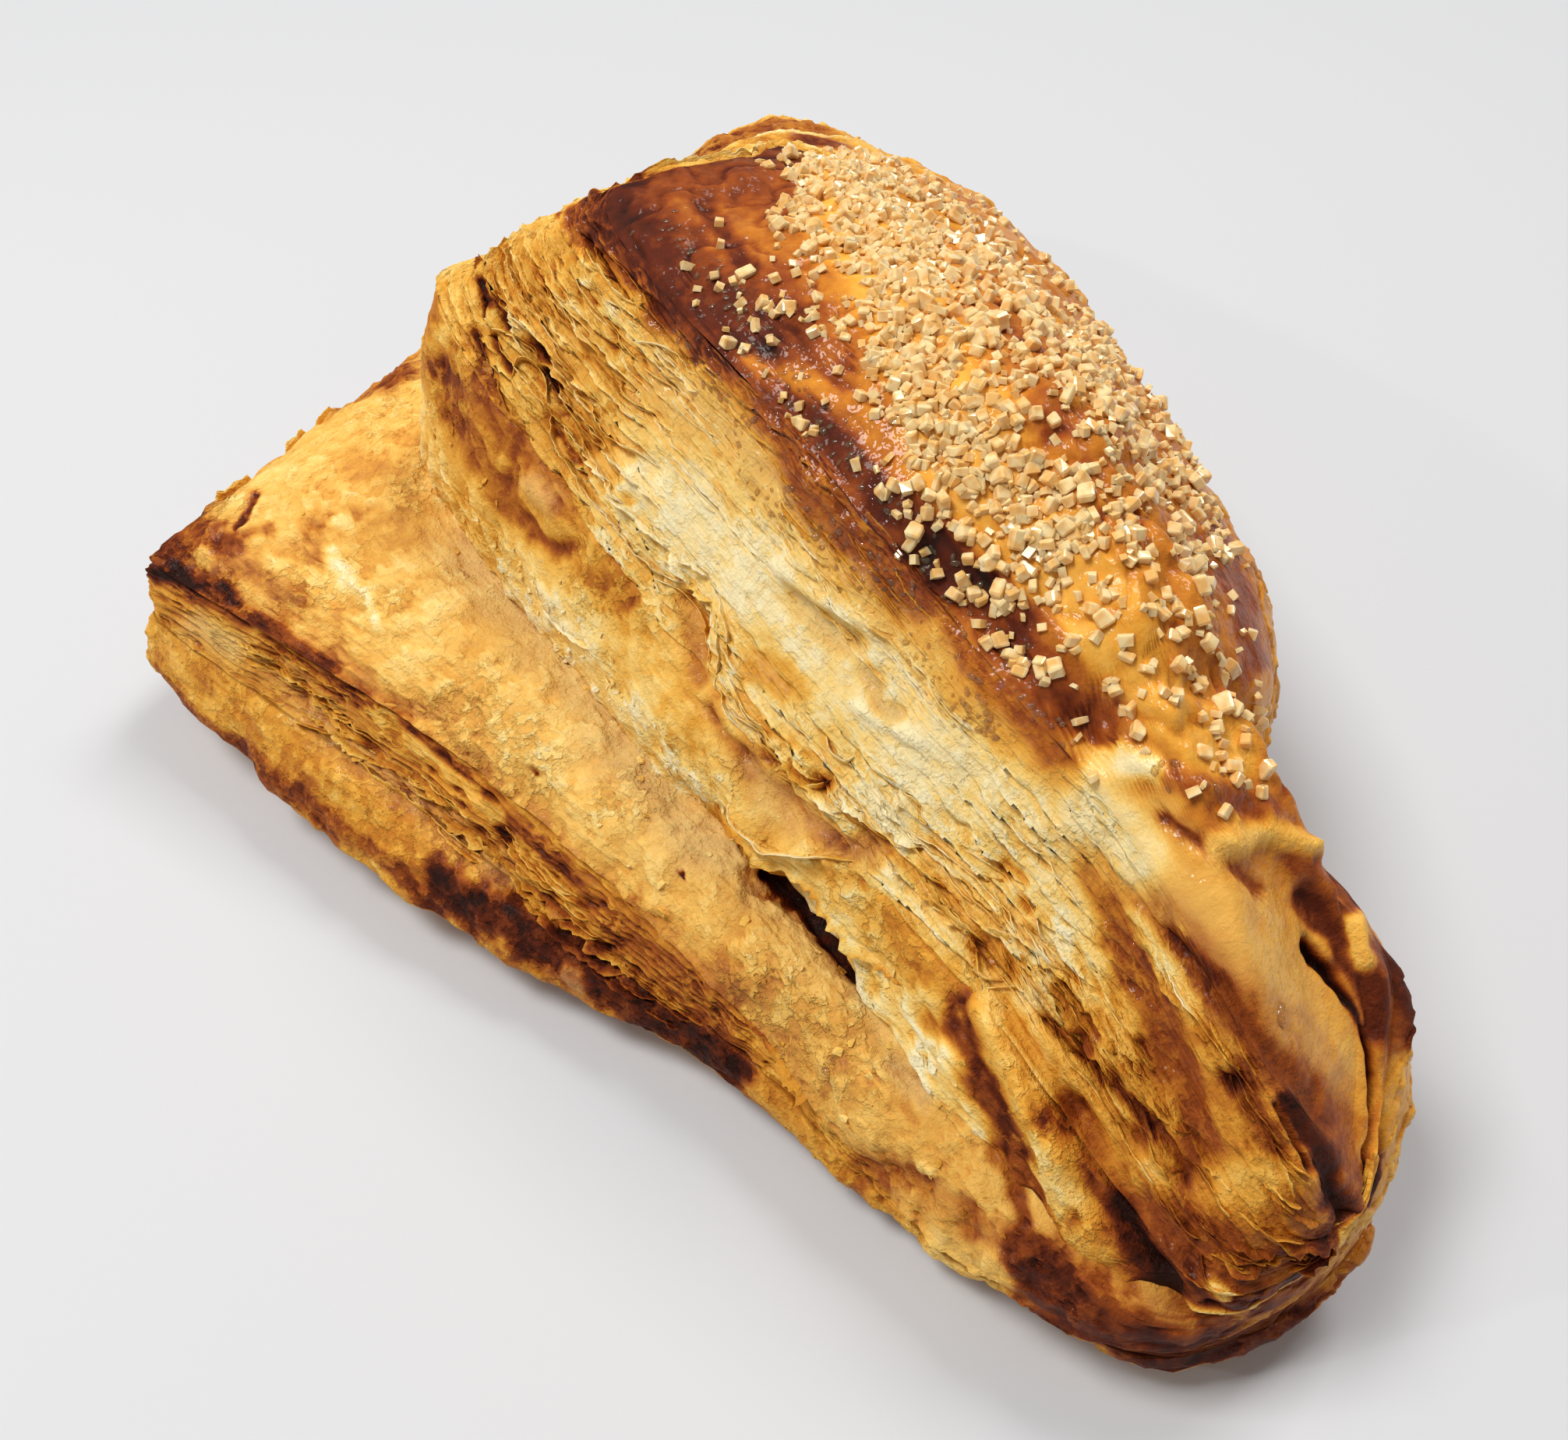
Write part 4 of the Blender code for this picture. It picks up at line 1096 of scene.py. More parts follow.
# The same for the rim of the lobe, where all the crusts meet
RIM_MARKS = {
    # Painted shadow in the sunk slit beside the lobe.
    "slit beside the lobe": ("1684,1216 1718,1262 1742,1302 1760,1350 1770,1407 1772,1453 1768,1492 "
        "1758,1546", 0.42, -1.6, 0.95, 0.95),
    "outer rim": ("1660,1100 1715,1150 1760,1215 1782,1280 1792,1340", 1.1, 0.5, 0.73, 0.85, 0.5),
    "fold of the rim": ("1575,1085 1620,1068 1680,1085", 0.9, 0.9, 0.32, 0.85, 0.4),
    "hollow of the rim": ("1680,1150 1722,1200 1752,1260 1768,1325", 1.0, -0.7, 0.86, 0.92, 0.2),
    "pale knobs": ("1735,1185 1752,1235", 0.6, 0.6, 0.24, 0.8),
    "scorched outer edge": ("1712,1108 1752,1155 1785,1215 1803,1285 1810,1340", 1.0, 0.2, 0.90, 0.97, 0.3),
    "gold tail": ("1800,1360 1785,1420 1765,1470", 0.8, 0.0, 0.44, 0.8),
}

# Each loose leaf's name: (crust, path in photograph pixels, height, lean, curl, paler by)
LEAVES = {
    "lip's spike": ("fan", "606,352 620,318 628,345", 1.2, 0.0, 0.2, 0.25),
    "lip's edge": ("fan", "603,385 612,430 625,475 650,525 668,560", 0.9, 0.2, 0.3, 0.0),
    "first leaf": ("fan", "630,350 640,385 650,420", 1.0, 0.1, 0.3, -0.2),
    "curled leaf": ("fan", "622,425 640,418 655,432 672,430 690,470", 1.1, 0.2, -0.4, -0.2),
    "hooked leaf": ("fan", "656,486 660,462 672,455 690,485 700,520", 1.0, 0.1, 0.4, -0.2),
    "bright leaf": ("fan", "692,480 698,525 704,560 722,590 752,630 786,665 812,708 840,735 "
        "880,748", 1.3, -0.1, 0.3, -0.25),
    "loop leaf": ("fan", "700,535 722,545 742,565 750,598", 1.3, 0.3, 0.2, -0.15),
    "long leaf": ("fan", "652,330 668,375 690,410 712,450 732,492 756,538 780,562 812,574 "
        "842,602", 1.3, 0.1, 0.4, -0.12),
    "second long leaf": ("fan", "690,340 705,385 730,425 764,468 798,505 832,530 "
        "858,556", 0.9, 0.1, 0.3, -0.1),
    "third long leaf": ("fan", "720,325 742,365 772,410 806,450 842,486 878,512", 0.8, 0.1, 0.3, -0.1),
    "far leaf": ("fan", "757,320 775,358 800,386 830,392", 1.1, 0.3, 0.3, -0.15),
    "far fringe": ("fan", "790,330 812,360 835,395 855,430 875,455", 0.8, 0.0, 0.4, -0.1),
    "cream fringe": ("fan", "812,440 840,438 866,452 890,480", 0.8, 0.0, 0.4, -0.2),
    "thin leaf": ("fan", "830,735 872,762 892,800 902,838 897,870", 0.9, -0.1, 0.3, -0.15),
    "stacked leaf": ("fan", "888,748 908,780 920,816 924,850 912,878 918,915 940,942 "
        "975,955", 1.1, 0.0, 0.35, -0.15),
    "stacked leaf behind": ("fan", "905,742 925,780 936,818 935,850", 0.9, 0.0, 0.3, -0.1),
    "low fringe": ("fan", "930,900 958,925 985,945 1000,975", 0.8, 0.0, 0.4, -0.1),
    "torn loop": ("fan", "998,985 1015,1005 1045,1012 1070,1000", 0.9, 0.2, 0.5, -0.15),
    "small loop": ("fan", "1060,940 1065,965 1090,985 1100,970", 0.8, 0.1, 0.3, -0.2),
    "glassy edge": ("fan", "1060,1045 1085,1038 1105,1062", 0.8, 0.2, 0.3, -0.2),
    "front leaf": ("fan", "1075,1012 1110,1035 1128,1068 1158,1080 1200,1085", 1.0, 0.0, 0.4, -0.15),
    "front leaf below": ("fan", "1112,1078 1148,1100 1165,1135 1185,1155 1225,1185 1252,1210 1258,1250 "
        "1290,1262", 1.0, 0.0, 0.35, -0.12),
    "front leaf above": ("fan", "1170,1060 1215,1092 1258,1130 1295,1170 1320,1215", 0.9, 0.0, 0.3, -0.15),
    "far front leaf": ("fan", "1240,1085 1290,1125 1330,1175 1350,1225", 0.7, 0.1, 0.3, -0.12),
    "leaf by the streak": ("fan", "1300,1050 1345,1105 1385,1165 1405,1205", 0.6, 0.1, 0.3, -0.12),
    "gold crest": ("fan", "1258,1262 1305,1270 1345,1305 1365,1350 1400,1395 1435,1450 "
        "1450,1490", 0.8, 0.0, 0.3, -0.08),
    "crest by the cleft": ("fan", "1330,1250 1362,1305 1400,1350 1440,1400 "
        "1470,1440", 0.8, 0.1, 0.3, -0.08),
    "porous fringe": ("fan", "1400,1320 1440,1360 1475,1400 1492,1430", 0.7, 0.0, 0.4, -0.1),
    "strand fringe": ("fan", "1495,1250 1530,1295 1560,1340 1590,1378", 0.8, 0.0, 0.3, -0.2),
    "band fringe": ("fan", "1590,1400 1615,1440 1640,1490 1660,1540", 0.7, 0.1, 0.3, -0.1),
    "nose loop": ("fan", "1540,1610 1545,1650 1570,1690 1605,1712", 0.9, 0.1, 0.3, -0.12),
    "nose edge": ("fan", "1515,1640 1522,1680 1512,1715", 0.8, 0.0, 0.3, -0.1),
    "overhanging flap": ("wall", "918,1030 944,1060 980,1078 1018,1106 1050,1138 1078,1170 1108,1206 "
        "1138,1238 1155,1262", 1.0, -0.8, -0.3, 0.12),
    "flap's crest": ("wall", "935,1025 962,1058 1000,1085 1045,1098 1110,1106", 0.9, 0.2, 0.5, -0.2),
    "flakes on the wall": ("wall", "575,600 590,625 602,655", 0.5, 0.0, -0.4, -0.2),
    "flakes on the slope": ("wall", "690,770 720,800 760,830", 0.4, -0.2, -0.4, -0.2),
    "corner flake": ("ledge", "340,552 365,556 385,552", 1.1, 0.6, 0.2, -0.5),
    "corner flake below": ("ledge", "275,640 292,615 305,600", 1.1, 0.4, 0.2, -0.45),
    "far edge flake": ("ledge", "395,545 430,528", 0.7, 0.4, 0.2, -0.3),
    "ragged ledge edge": ("ledge", "950,1310 966,1350 1000,1385 1020,1400 1048,1402", 0.9, -0.7, -0.3, 0.0),
    "strip's upper flake": ("strip", "330,815 360,838 400,862 440,892", 0.6, -0.4, -0.2, -0.15),
    "strip's flake": ("strip", "380,885 410,912 440,938 470,955", 1.1, -0.2, -0.5, -0.2),
    "strip's second flake": ("strip", "465,950 500,982 545,1005 575,1035", 1.0, -0.2, -0.5, -0.1),
    "strip's curl": ("strip", "552,1035 572,1055 598,1068 620,1088", 1.2, -0.3, -0.6, -0.2),
    "strip's third flake": ("strip", "600,1060 635,1098 668,1135 700,1160", 1.0, -0.2, -0.5, -0.1),
    "strip's fourth flake": ("strip", "690,1148 722,1170 752,1200 795,1232 "
        "835,1262", 1.2, -0.2, -0.5, -0.2),
    "strip's lowest flake": ("strip", "665,1150 700,1178 730,1212 775,1236 "
        "815,1250", 1.1, -0.3, -0.4, -0.15),
}

# Each thicket of small leaves: (crust, path in photograph pixels, half width mm, count, length,
# height, paler by). Without a path they stand on the sides that the photograph doesn't show.
LEAF_THICKETS = {
    "upper leaves": ("fan", "640,345 680,420 740,520 800,600", 2.2, 15, (12, 30), (0.7, 1.5), -0.16),
    "porous leaves": ("fan", "730,340 790,430 860,520", 2.5, 40, (3, 9), (0.25, 0.6), -0.18),
    "stack": ("fan", "880,740 925,800 935,880 980,950 1060,1010 "
        "1130,1060", 1.2, 24, (3, 9), (0.6, 1.3), -0.14),
    "front": ("fan", "1150,1050 1230,1130 1300,1230 1350,1300", 2.2, 38, (3, 10), (0.5, 1.3), -0.06),
    "folds": ("fan", "1330,1200 1400,1310 1460,1420 1500,1500", 2.0, 28, (3, 9), (0.4, 1.1), -0.05),
    "band": ("fan", "1500,1260 1560,1340 1620,1440 1660,1540", 1.2, 16, (2, 7), (0.4, 1.0), -0.05),
    "nose": ("fan", "1540,1560 1600,1620 1680,1600", 1.8, 18, (2, 6), (0.5, 1.2), -0.08),
    "strip": ("strip", "330,850 420,930 520,1000 640,1100 760,1200 "
        "860,1290", 1.6, 46, (3, 12), (0.5, 1.2), -0.2),
    "pale strands": ("fan", "900,620 1000,700 1100,800 1200,900", 2.6, 44, (4, 12), (0.15, 0.45), -0.06),
    "wet strands": ("fan", "890,520 970,590 1060,690 1160,790", 1.5, 24, (3, 8), (0.15, 0.4), -0.10),
    "hidden fan": ("fan", None, 0.0, 46, (5, 16), (0.5, 1.3), -0.14),
    "hidden strip": ("strip", None, 0.0, 40, (4, 14), (0.4, 1.1), -0.14),
}

# Each crumbly patch: (crust, path in photograph pixels, half width mm, crumbs a square millimetre)
CRUMB_SPREAD = {
    "foot of the wall": ("wall", "565,520 600,620 680,740 760,850 850,960 930,1050", 1.5, 0.25),
    "groove": ("ledge", "560,560 640,700 740,830 840,960", 1.0, 0.1),
    "ledge": ("ledge", "480,640 640,860 800,1040 950,1180", 6.0, 0.03),
    "ledge in front": ("ledge", "1000,1250 1120,1370 1200,1480 1260,1600", 4.5, 0.07),
    "wall in front": ("wall", "1150,1180 1200,1300 1220,1400", 2.5, 0.08),
    "ragged edge": ("wall", "915,1045 950,1090 1000,1120", 1.0, 0.8),
}

# Each sugared patch's name: (path in photograph pixels, half width mm, grains a square millimetre)
SUGAR_SPREAD = {
    "crest of the dome": ("1095,235 1140,320 1165,420 1190,500 1240,580 1290,650 1330,700", 3.4, 3.6),
    "over the dome": ("1180,290 1270,380 1350,500 1390,600 1400,690", 5.0, 0.78),
    "far end": ("1020,215 1040,270", 2.0, 1.2),
    "right side": ("1400,430 1480,560 1540,680", 3.5, 0.5),
    "lower right": ("1500,780 1560,880 1590,960", 3.2, 0.45),
    "left shoulder": ("1010,290 1030,400 1080,430", 1.6, 0.7),
    "ridge": ("930,320 1000,480 1060,560 1130,600 1170,680", 1.6, 0.35),
    "lower ridge": ("1190,720 1320,840 1400,910", 1.4, 0.7),
    "scorched ridge": ("890,350 950,430", 1.5, 0.18),
    "flank": ("1340,760 1440,860 1480,930", 2.6, 0.25),
}


# Each crust's bands with their rows of points, the number of columns and the rail that spaces them.
CRUST_GRIDS = {
    "strip": ({"underside": 4, "foot": 5, "skin": 34, "strip": 30}, 700, "ledge_edge"),
    "ledge": ({"ledge": 108}, 820, "ledge_edge"),
    "wall": ({"wall": 80}, 680, "lip"),
    "fan": ({"fan": 124}, 780, "lip"),
    "dome": ({"dome": 104}, 620, "ridge"),
}

# Islands of blistered skin on each crust, from broad blisters to flakes: (size mm, flattened by,
# seed, level, edge, rise mm, darker by)
SKIN_LAYERS = {
    "strip": ((4.0, 2.0, 5, 0.02, 0.08, 0.30, 0.08), (1.8, 1.0, 7, 0.15, 0.08, 0.16, -0.07)),
    "ledge": ((5.0, 1.5, 15, 0.05, 0.06, 0.30, -0.06), (2.6, 1.0, 16, 0.05, 0.10, 0.26, -0.06),
              (1.5, 1.0, 7, 0.20, 0.12, 0.16, -0.04)),
    "wall": ((3.6, 1.0, 22, 0.08, 0.08, 0.30, -0.06),),
}

# Parts of the fan where the layers stay together: (path in photograph pixels, half width mm)
CALM_LAYERS = {
    "pale middle": ("880,620 960,720 1050,820 1150,900 1230,970", 4.5),
    "amber band": ("880,520 980,600 1090,720 1230,850 1340,990", 2.5),
    "valley": ("880,780 900,880 960,990 1080,1085", 1.3),
    "smooth hollow": ("1300,1310 1400,1480 1480,1640", 1.8),
}
# Parts of the fan that are full of small holes, in the same form
POROUS_LAYERS = {
    "upper leaves": ("715,350 760,410 830,480", 2.6),
    "front": ("1290,1110 1360,1220 1440,1350", 2.0),
    "band": ("1560,1340 1640,1500", 1.7),
    "nose": ("1560,1600 1660,1600", 2.0),
}

# Small beads of syrup: (path in photograph pixels, half width mm, beads a square millimetre)
BEAD_SPREAD = {
    "below the ridge": ("985,640 1030,670 1100,720 1160,770", 1.2, 2.0),
    "in the middle": ("1180,850 1220,880 1270,930", 1.3, 2.0),
    "ridge": ("1010,480 1060,540 1130,640 1200,700 1260,790 1360,950", 1.0, 1.6),
    "end of the leaves": ("885,440 930,500 960,560", 0.9, 1.6),
    "scorched ridge": ("850,300 900,330 1000,470 970,480", 1.1, 1.3),
    "waist": ("1480,990 1580,1020", 0.7, 1.4),
}
# Single drops of syrup, where a path starts: (crust, path in photograph pixels, half sizes mm)
DROPS = {
    "lobe": ("dome", "1640,1303 1643,1306", (0.95, 0.6, 0.42)),
    "ledge": ("ledge", "1064,1374 1067,1377", (0.5, 0.42, 0.36)),
    "by the first": ("ledge", "1066,1362 1069,1365", (0.3, 0.3, 0.25)),
}


def blister_skin(name, patch, where=1.0):
    """Lifts and browns a patch by its layers of skin: each adds its rise where its islands are."""
    for size, flattened, seed, level, edge, rise, darker in SKIN_LAYERS[name]:
        islands = plates(patch.grid * (1, 1, flattened), size, seed, level, edge) * where
        patch.height += rise * islands
        patch.bake += darker * islands


def finish_crust(name, patch, marks, hollows, borders, material, shut_at, still=0.0):
    """Makes a patch a piece: puts its marks on it, shades its hollows and joins its borders.

    Its first and last rows are drawn in to points at the heights shut_at under the crown. The
    relief is first made less by still, a share of it at each point.
    """
    for table in marks:
        put_marks(patch, table)
    shade_hollows(patch, *hollows)
    patch.height *= 1 - still
    settle(patch, *borders)
    below, above = ((CROWN_PLACE[0], CROWN_PLACE[1], height) for height in shut_at)
    return closed_crust(name, patch, pastry_material(*material), below, above)


# ---------------------------------------------------------------- operators

# The studio: a painted floor, an even pale surround, and each lamp's place, width in metres, power
# in watts and colour.
FLOOR_REACH = 3.0
FLOOR_ROUGHNESS = 0.8
SURROUND = ((1.0, 0.98, 0.95, 1.0), 0.28)
LAMPS = {
    "key": ((-0.38, 0.06, 0.82), 0.30, 6.0, (1.0, 0.98, 0.95)),
    "fill": ((0.40, 0.22, 0.78), 0.32, 3.8, (1.0, 0.98, 0.95)),
    "glint": ((-0.78, -0.02, 0.52), 0.03, 0.7, (1.0, 1.0, 1.0)),
}
LAMPS_AIM = (0.0, -0.01, 0.03)


class TURNOVER_OT_stage(bpy.types.Operator):
    """Camera at the photograph's angle, a plain pale floor and soft studio lights"""
    bl_idname = "turnover.stage"
    bl_label = "Stage"

    def execute(self, context):
        scene = context.scene
        ahead, right, down = camera_axes()
        camera = bpy.data.objects.new("camera", bpy.data.cameras.new("camera"))
        scene.collection.objects.link(camera)
        turn = Matrix([[right[i], -down[i], -ahead[i]] for i in range(3)])
        camera.matrix_world = Matrix.Translation(Vector(CAMERA_PLACE * MM)) @ turn.to_4x4()
        camera.data.sensor_width = SENSOR
        camera.data.lens = SENSOR * FOCAL_PIXELS / PHOTO_SIZE[0]
        camera.data.clip_start = 0.002
        scene.camera = camera

        mesh = bpy.data.meshes.new("floor")
        corners = ((-1, -1), (1, -1), (1, 1), (-1, 1))
        mesh.from_pydata([(x * FLOOR_REACH, y * FLOOR_REACH, 0) for x, y in corners], [], [(0, 1, 2, 3)])
        mesh.materials.append(new_material("matt_floor_paint", {
            "Base Color": scene.turnover.colours.floor, "Roughness": FLOOR_ROUGHNESS})[0])
        floor = bpy.data.objects.new("floor", mesh)
        scene.collection.objects.link(floor)

        world = bpy.data.worlds.new("studio")
        world.use_nodes = True
        background = world.node_tree.nodes["Background"].inputs
        background["Color"].default_value, background["Strength"].default_value = SURROUND
        scene.world = world
        for name, (place, size, power, colour) in LAMPS.items():
            data = bpy.data.lights.new(name, "AREA")
            data.size, data.energy, data.color = size, power, colour
            lamp = bpy.data.objects.new(name, data)
            lamp.location = place
            aim = Vector(LAMPS_AIM) - Vector(place)
            lamp.rotation_euler = aim.to_track_quat("-Z", "Y").to_euler()
            scene.collection.objects.link(lamp)
        scene.view_settings.view_transform = "Standard"
        return {"FINISHED"}


class TURNOVER_OT_lower_flap(bpy.types.Operator):
    """The lower flap: its underside, its outer skin and the cut strip of layers under its rim"""
    bl_idname = "turnover.lower_flap"
    bl_label = "Lower flap"

    def execute(self, context):
        p = crust_patch(*CRUST_GRIDS["strip"])
        skin, strip = (np.isin(p.bands, band)[:, None] for band in ("skin", "strip"))
        under = np.isin(p.bands, ("underside", "foot"))[:, None]
        bake = 0.42 + 0.10 * rough(p.grid, 7.0, 3) + skin * 0.02 + strip * 0.10 + under * 0.14
        bake = bake + 0.28 * ease(p.y, 1560, 1700) * ease(p.x, 1250, 1400) * p.seen
        closed_side(p, bake, 0.08, 0.7 * skin + 0.5 * under)
        p.height += (0.6 * rough(p.grid, 9.0, 6) + 0.10 * rough(p.grid, 1.1, 8)) * skin
        blister_skin("strip", p, skin)
        # The strip's cut layers: two zigzags up its height, of 8.5 and 19 layers, that wander, with
        # torn stretches and pores between them.
        wander = 0.8 * noise(p.grid, 13.0, 9) + 0.45 * noise(p.grid, 4.0, 10) + 0.2 * p.wobble
        sheets = np.abs(2 * ((8.5 * p.t + wander) % 1.0) - 1)
        finer = np.abs(2 * ((19.0 * p.t + 2.3 * wander) % 1.0) - 1)
        holes = pores(p, 1.1, 3.0, 11) * plates(p.grid, 5.0, 12, -0.1)
        torn = 0.65 + 0.5 * noise(p.grid, 3.0, 14)
        p.height += strip * p.open * (0.65 * torn * (sheets - 0.6) + 0.25 * (finer - 0.5)
                                      + 0.35 * noise(p.grid, 1.4, 13) - 0.7 * holes)
        # Painted shade in the hollows between the layers and in the pores.
        p.bake += strip * p.open * (0.10 * (0.5 - sheets) + 0.05 * (0.5 - finer) + 0.18 * holes)
        p.fibre += strip * p.open
        bed_leaves(p, "strip", 0.4, 0.10)
        piece = finish_crust("strip", p, (LOWER_MARKS, RIM_MARKS), (0.14, 0.06), (None, -0.5),
                             ("baked_puff_pastry", 1.2), (0.0, 8.0), 0.8 * under)
        piece.name = "lower_flap"
        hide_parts(NODE)
        return {"FINISHED"}


class TURNOVER_OT_ledge(bpy.types.Operator):
    """The top of the lower flap, a wide ledge of blistered skin that runs out past the upper flap"""
    bl_idname = "turnover.ledge"
    bl_label = "Ledge"

    def execute(self, context):
        p = crust_patch(*CRUST_GRIDS["ledge"])
        edge = 1 - np.sin(math.pi * np.clip(p.t, 0, 0.5))
        bake = 0.40 + 0.11 * rough(p.grid, 7.0, 3) + 0.24 * edge**2
        bake = bake + 0.30 * ease(p.y, 1560, 1680) * ease(p.x, 1250, 1400) * p.seen
        calm = 1 - 0.6 * ease(p.y, 1480, 1600) * p.seen
        closed_side(p, bake, 0.08, (0.35 + 0.75 * plates(p.grid, 7.0, 17, -0.1, 0.5)) * calm)
        p.raw += 0.16 * p.seen
        p.height += 0.45 * rough(p.grid, 9.0, 6) + 0.16 * rough(p.grid, 1.5, 8)
        blister_skin("ledge", p)
        finish_crust("ledge", p, (LOWER_MARKS, RIM_MARKS), (0.16, 0.06), (0.25, -0.15),
                     ("blistered_puff_pastry", 0.9), (8.0, 20.0))
        return {"FINISHED"}


class TURNOVER_OT_wall(bpy.types.Operator):
    """The side of the upper flap, from the groove up to its lip"""
    bl_idname = "turnover.wall"
    bl_label = "Wall of the upper flap"

    def execute(self, context):
        p = crust_patch(*CRUST_GRIDS["wall"])
        bake = 0.18 + 0.09 * rough(p.grid, 7.0, 21) + 0.22 * ease(p.t, 0.4, 1.0)
        bake += 0.19 * (1 - ease(p.y, 640, 800)) * p.seen
        closed_side(p, bake, 0.10, 0.3 + 0.7 * plates(p.grid, 6.0, 26, -0.1, 0.5))
        p.height += 0.5 * rough(p.grid, 6.0, 23)
        blister_skin("wall", p)
        flakes = plates(p.grid, 1.6, 24, 0.12, 0.12)
        crumbly = 0.5 + 0.8 * (1 - ease(p.t, 0.1, 0.7))
        p.height += (0.24 * flakes + 0.14 * rough(p.grid, 1.2, 25)) * crumbly
        p.bake -= 0.07 * flakes * crumbly
        finish_crust("wall", p, (UPPER_MARKS, RIM_MARKS), (0.16, 0.06), (0.1, -0.5),
                     ("browned_puff_pastry", 0.9), (12.0, 30.0))
        return {"FINISHED"}


class TURNOVER_OT_layers(bpy.types.Operator):
    """The fan of opened layers between the lip of the upper flap and its glazed ridge"""
    bl_idname = "turnover.layers"
    bl_label = "Opened layers"

    def execute(self, context):
        p = crust_patch(*CRUST_GRIDS["fan"])
        split = np.ones(p.x.shape)
        for path, width in CALM_LAYERS.values():
            split = np.minimum(split, 1 - 0.85 * touch(p, path, width, 3.0))
        front = ease(p.y, 1150, 1400) * p.seen
        split *= 1 - 0.35 * front
        # Leaves up the slope: each rises steeply at its lower edge and falls away to the next, with
        # finer ones on it; 13 leaves at the tip, 8 in front and 33 fine ones.
        drift = 1.2 * noise(p.grid, 22.0, 31) + 0.6 * noise(p.grid, 7.0, 32) + 0.2 * p.wobble
        phase = ((13.0 - 5.0 * front) * p.t + drift) % 1.0
        leaf = (1 - phase) ** 0.8 * ease(phase, 0.0, 0.12)
        depth = p.open * (0.65 + 0.5 * noise(p.grid, 8.0, 33)) * split
        depth = depth * np.minimum(p.width["fan"] / 16.0, 1.0)
        fine_phase = (33.0 * p.t + 3 * drift + 0.8 * noise(p.grid, 3.0, 34)) % 1.0
        fine = (1 - fine_phase) * ease(fine_phase, 0.0, 0.2)
        bake = 0.20 + 0.10 * rough(p.grid, 8.0, 35) + 0.14 * (1 - ease(p.y, 540, 680)) * p.seen
        bake -= 0.07 * ease(p.y, 850, 1000) * (1 - ease(p.y, 1250, 1400)) * p.seen
        bake = bake + 0.22 * ease(p.y, 1180, 1420) * ease(p.x, 1300, 1430) * p.seen
        bake = bake + (0.02 * front + 0.16 * ease(p.y, 1350, 1620)) * p.seen + 0.08 * (1 - p.seen)
        # Painted shadow in the gaps at the feet of the leaves' edges, painted light up each leaf.
        bake = bake + depth * (0.26 * ease(phase, 0.82, 0.97) - 0.08 * leaf
                               + 0.10 * ease(fine_phase, 0.6, 1.0))
        by_ridge = ease(p.t, 0.86, 1.0)
        closed_side(p, bake + 0.20 * by_ridge, 0.12 + 0.25 * by_ridge, 0.35)
        p.height += depth * (1.25 * (leaf - 0.5) + 0.45 * (fine - 0.5))
        p.lean += depth * 0.7 * leaf
        p.height += p.open * (0.35 * rough(p.grid, 5.0, 36) + 0.16 * rough(p.grid, 1.3, 37))
        holes = np.zeros(p.x.shape)
        for path, width in POROUS_LAYERS.values():
            holes = np.maximum(holes, touch(p, path, width, 3.0))
        holes = np.maximum(holes, (1 - p.seen) * plates(p.grid, 9.0, 38, 0.2)) * p.open
        holes = holes * pores(p, 0.9, 2.6, 39, 0.5)
        p.height -= 0.7 * holes
        # Painted shade in the pores.
        p.bake += 0.26 * holes
        p.fibre += p.open * (0.15 + 0.85 * split)
        bed_leaves(p, "fan", 0.35, 0.07)
        finish_crust("fan", p, (UPPER_MARKS, RIM_MARKS), (0.10, 0.10, 5), (0.2, 0),
                     ("laminated_puff_pastry", 1.6), (14.0, 30.0))
        return {"FINISHED"}


class TURNOVER_OT_glazed_back(bpy.types.Operator):
    """The glazed back of the upper flap, from its dark ridge over the dome to the front lobe"""
    bl_idname = "turnover.glazed_back"
    bl_label = "Glazed back"

    def execute(self, context):
        p = crust_patch(*CRUST_GRIDS["dome"])
        bake = 0.60 + 0.13 * rough(p.grid, 8.0, 41) + 0.28 * (1 - ease(p.t, 0.02, 0.18))
        closed_side(p, bake, 0.9, 0.1)
        lobe = ease(p.y, 960, 1060) * p.seen
        p.height += (0.7 * rough(p.grid, 9.0, 42) * ease(p.t, 0, 0.1)
                     + 0.30 * rough(p.grid, 2.4, 43)) * (1 - 0.8 * lobe)
        # Wrinkles run where noise passes through zero.
        wrinkles = (1 - ease(np.abs(noise(p.grid, 3.2, 44)), 0.0, 0.25)) * (1 - lobe)
        p.height -= 0.35 * wrinkles
        p.bake += 0.10 * wrinkles
        finish_crust("dome", p, (UPPER_MARKS, RIM_MARKS), (0.14, 0.06), (0, None),
                     ("egg_washed_crust", 0.5), (30.0, CROWN[2] + DOME_RISE))
        return {"FINISHED"}


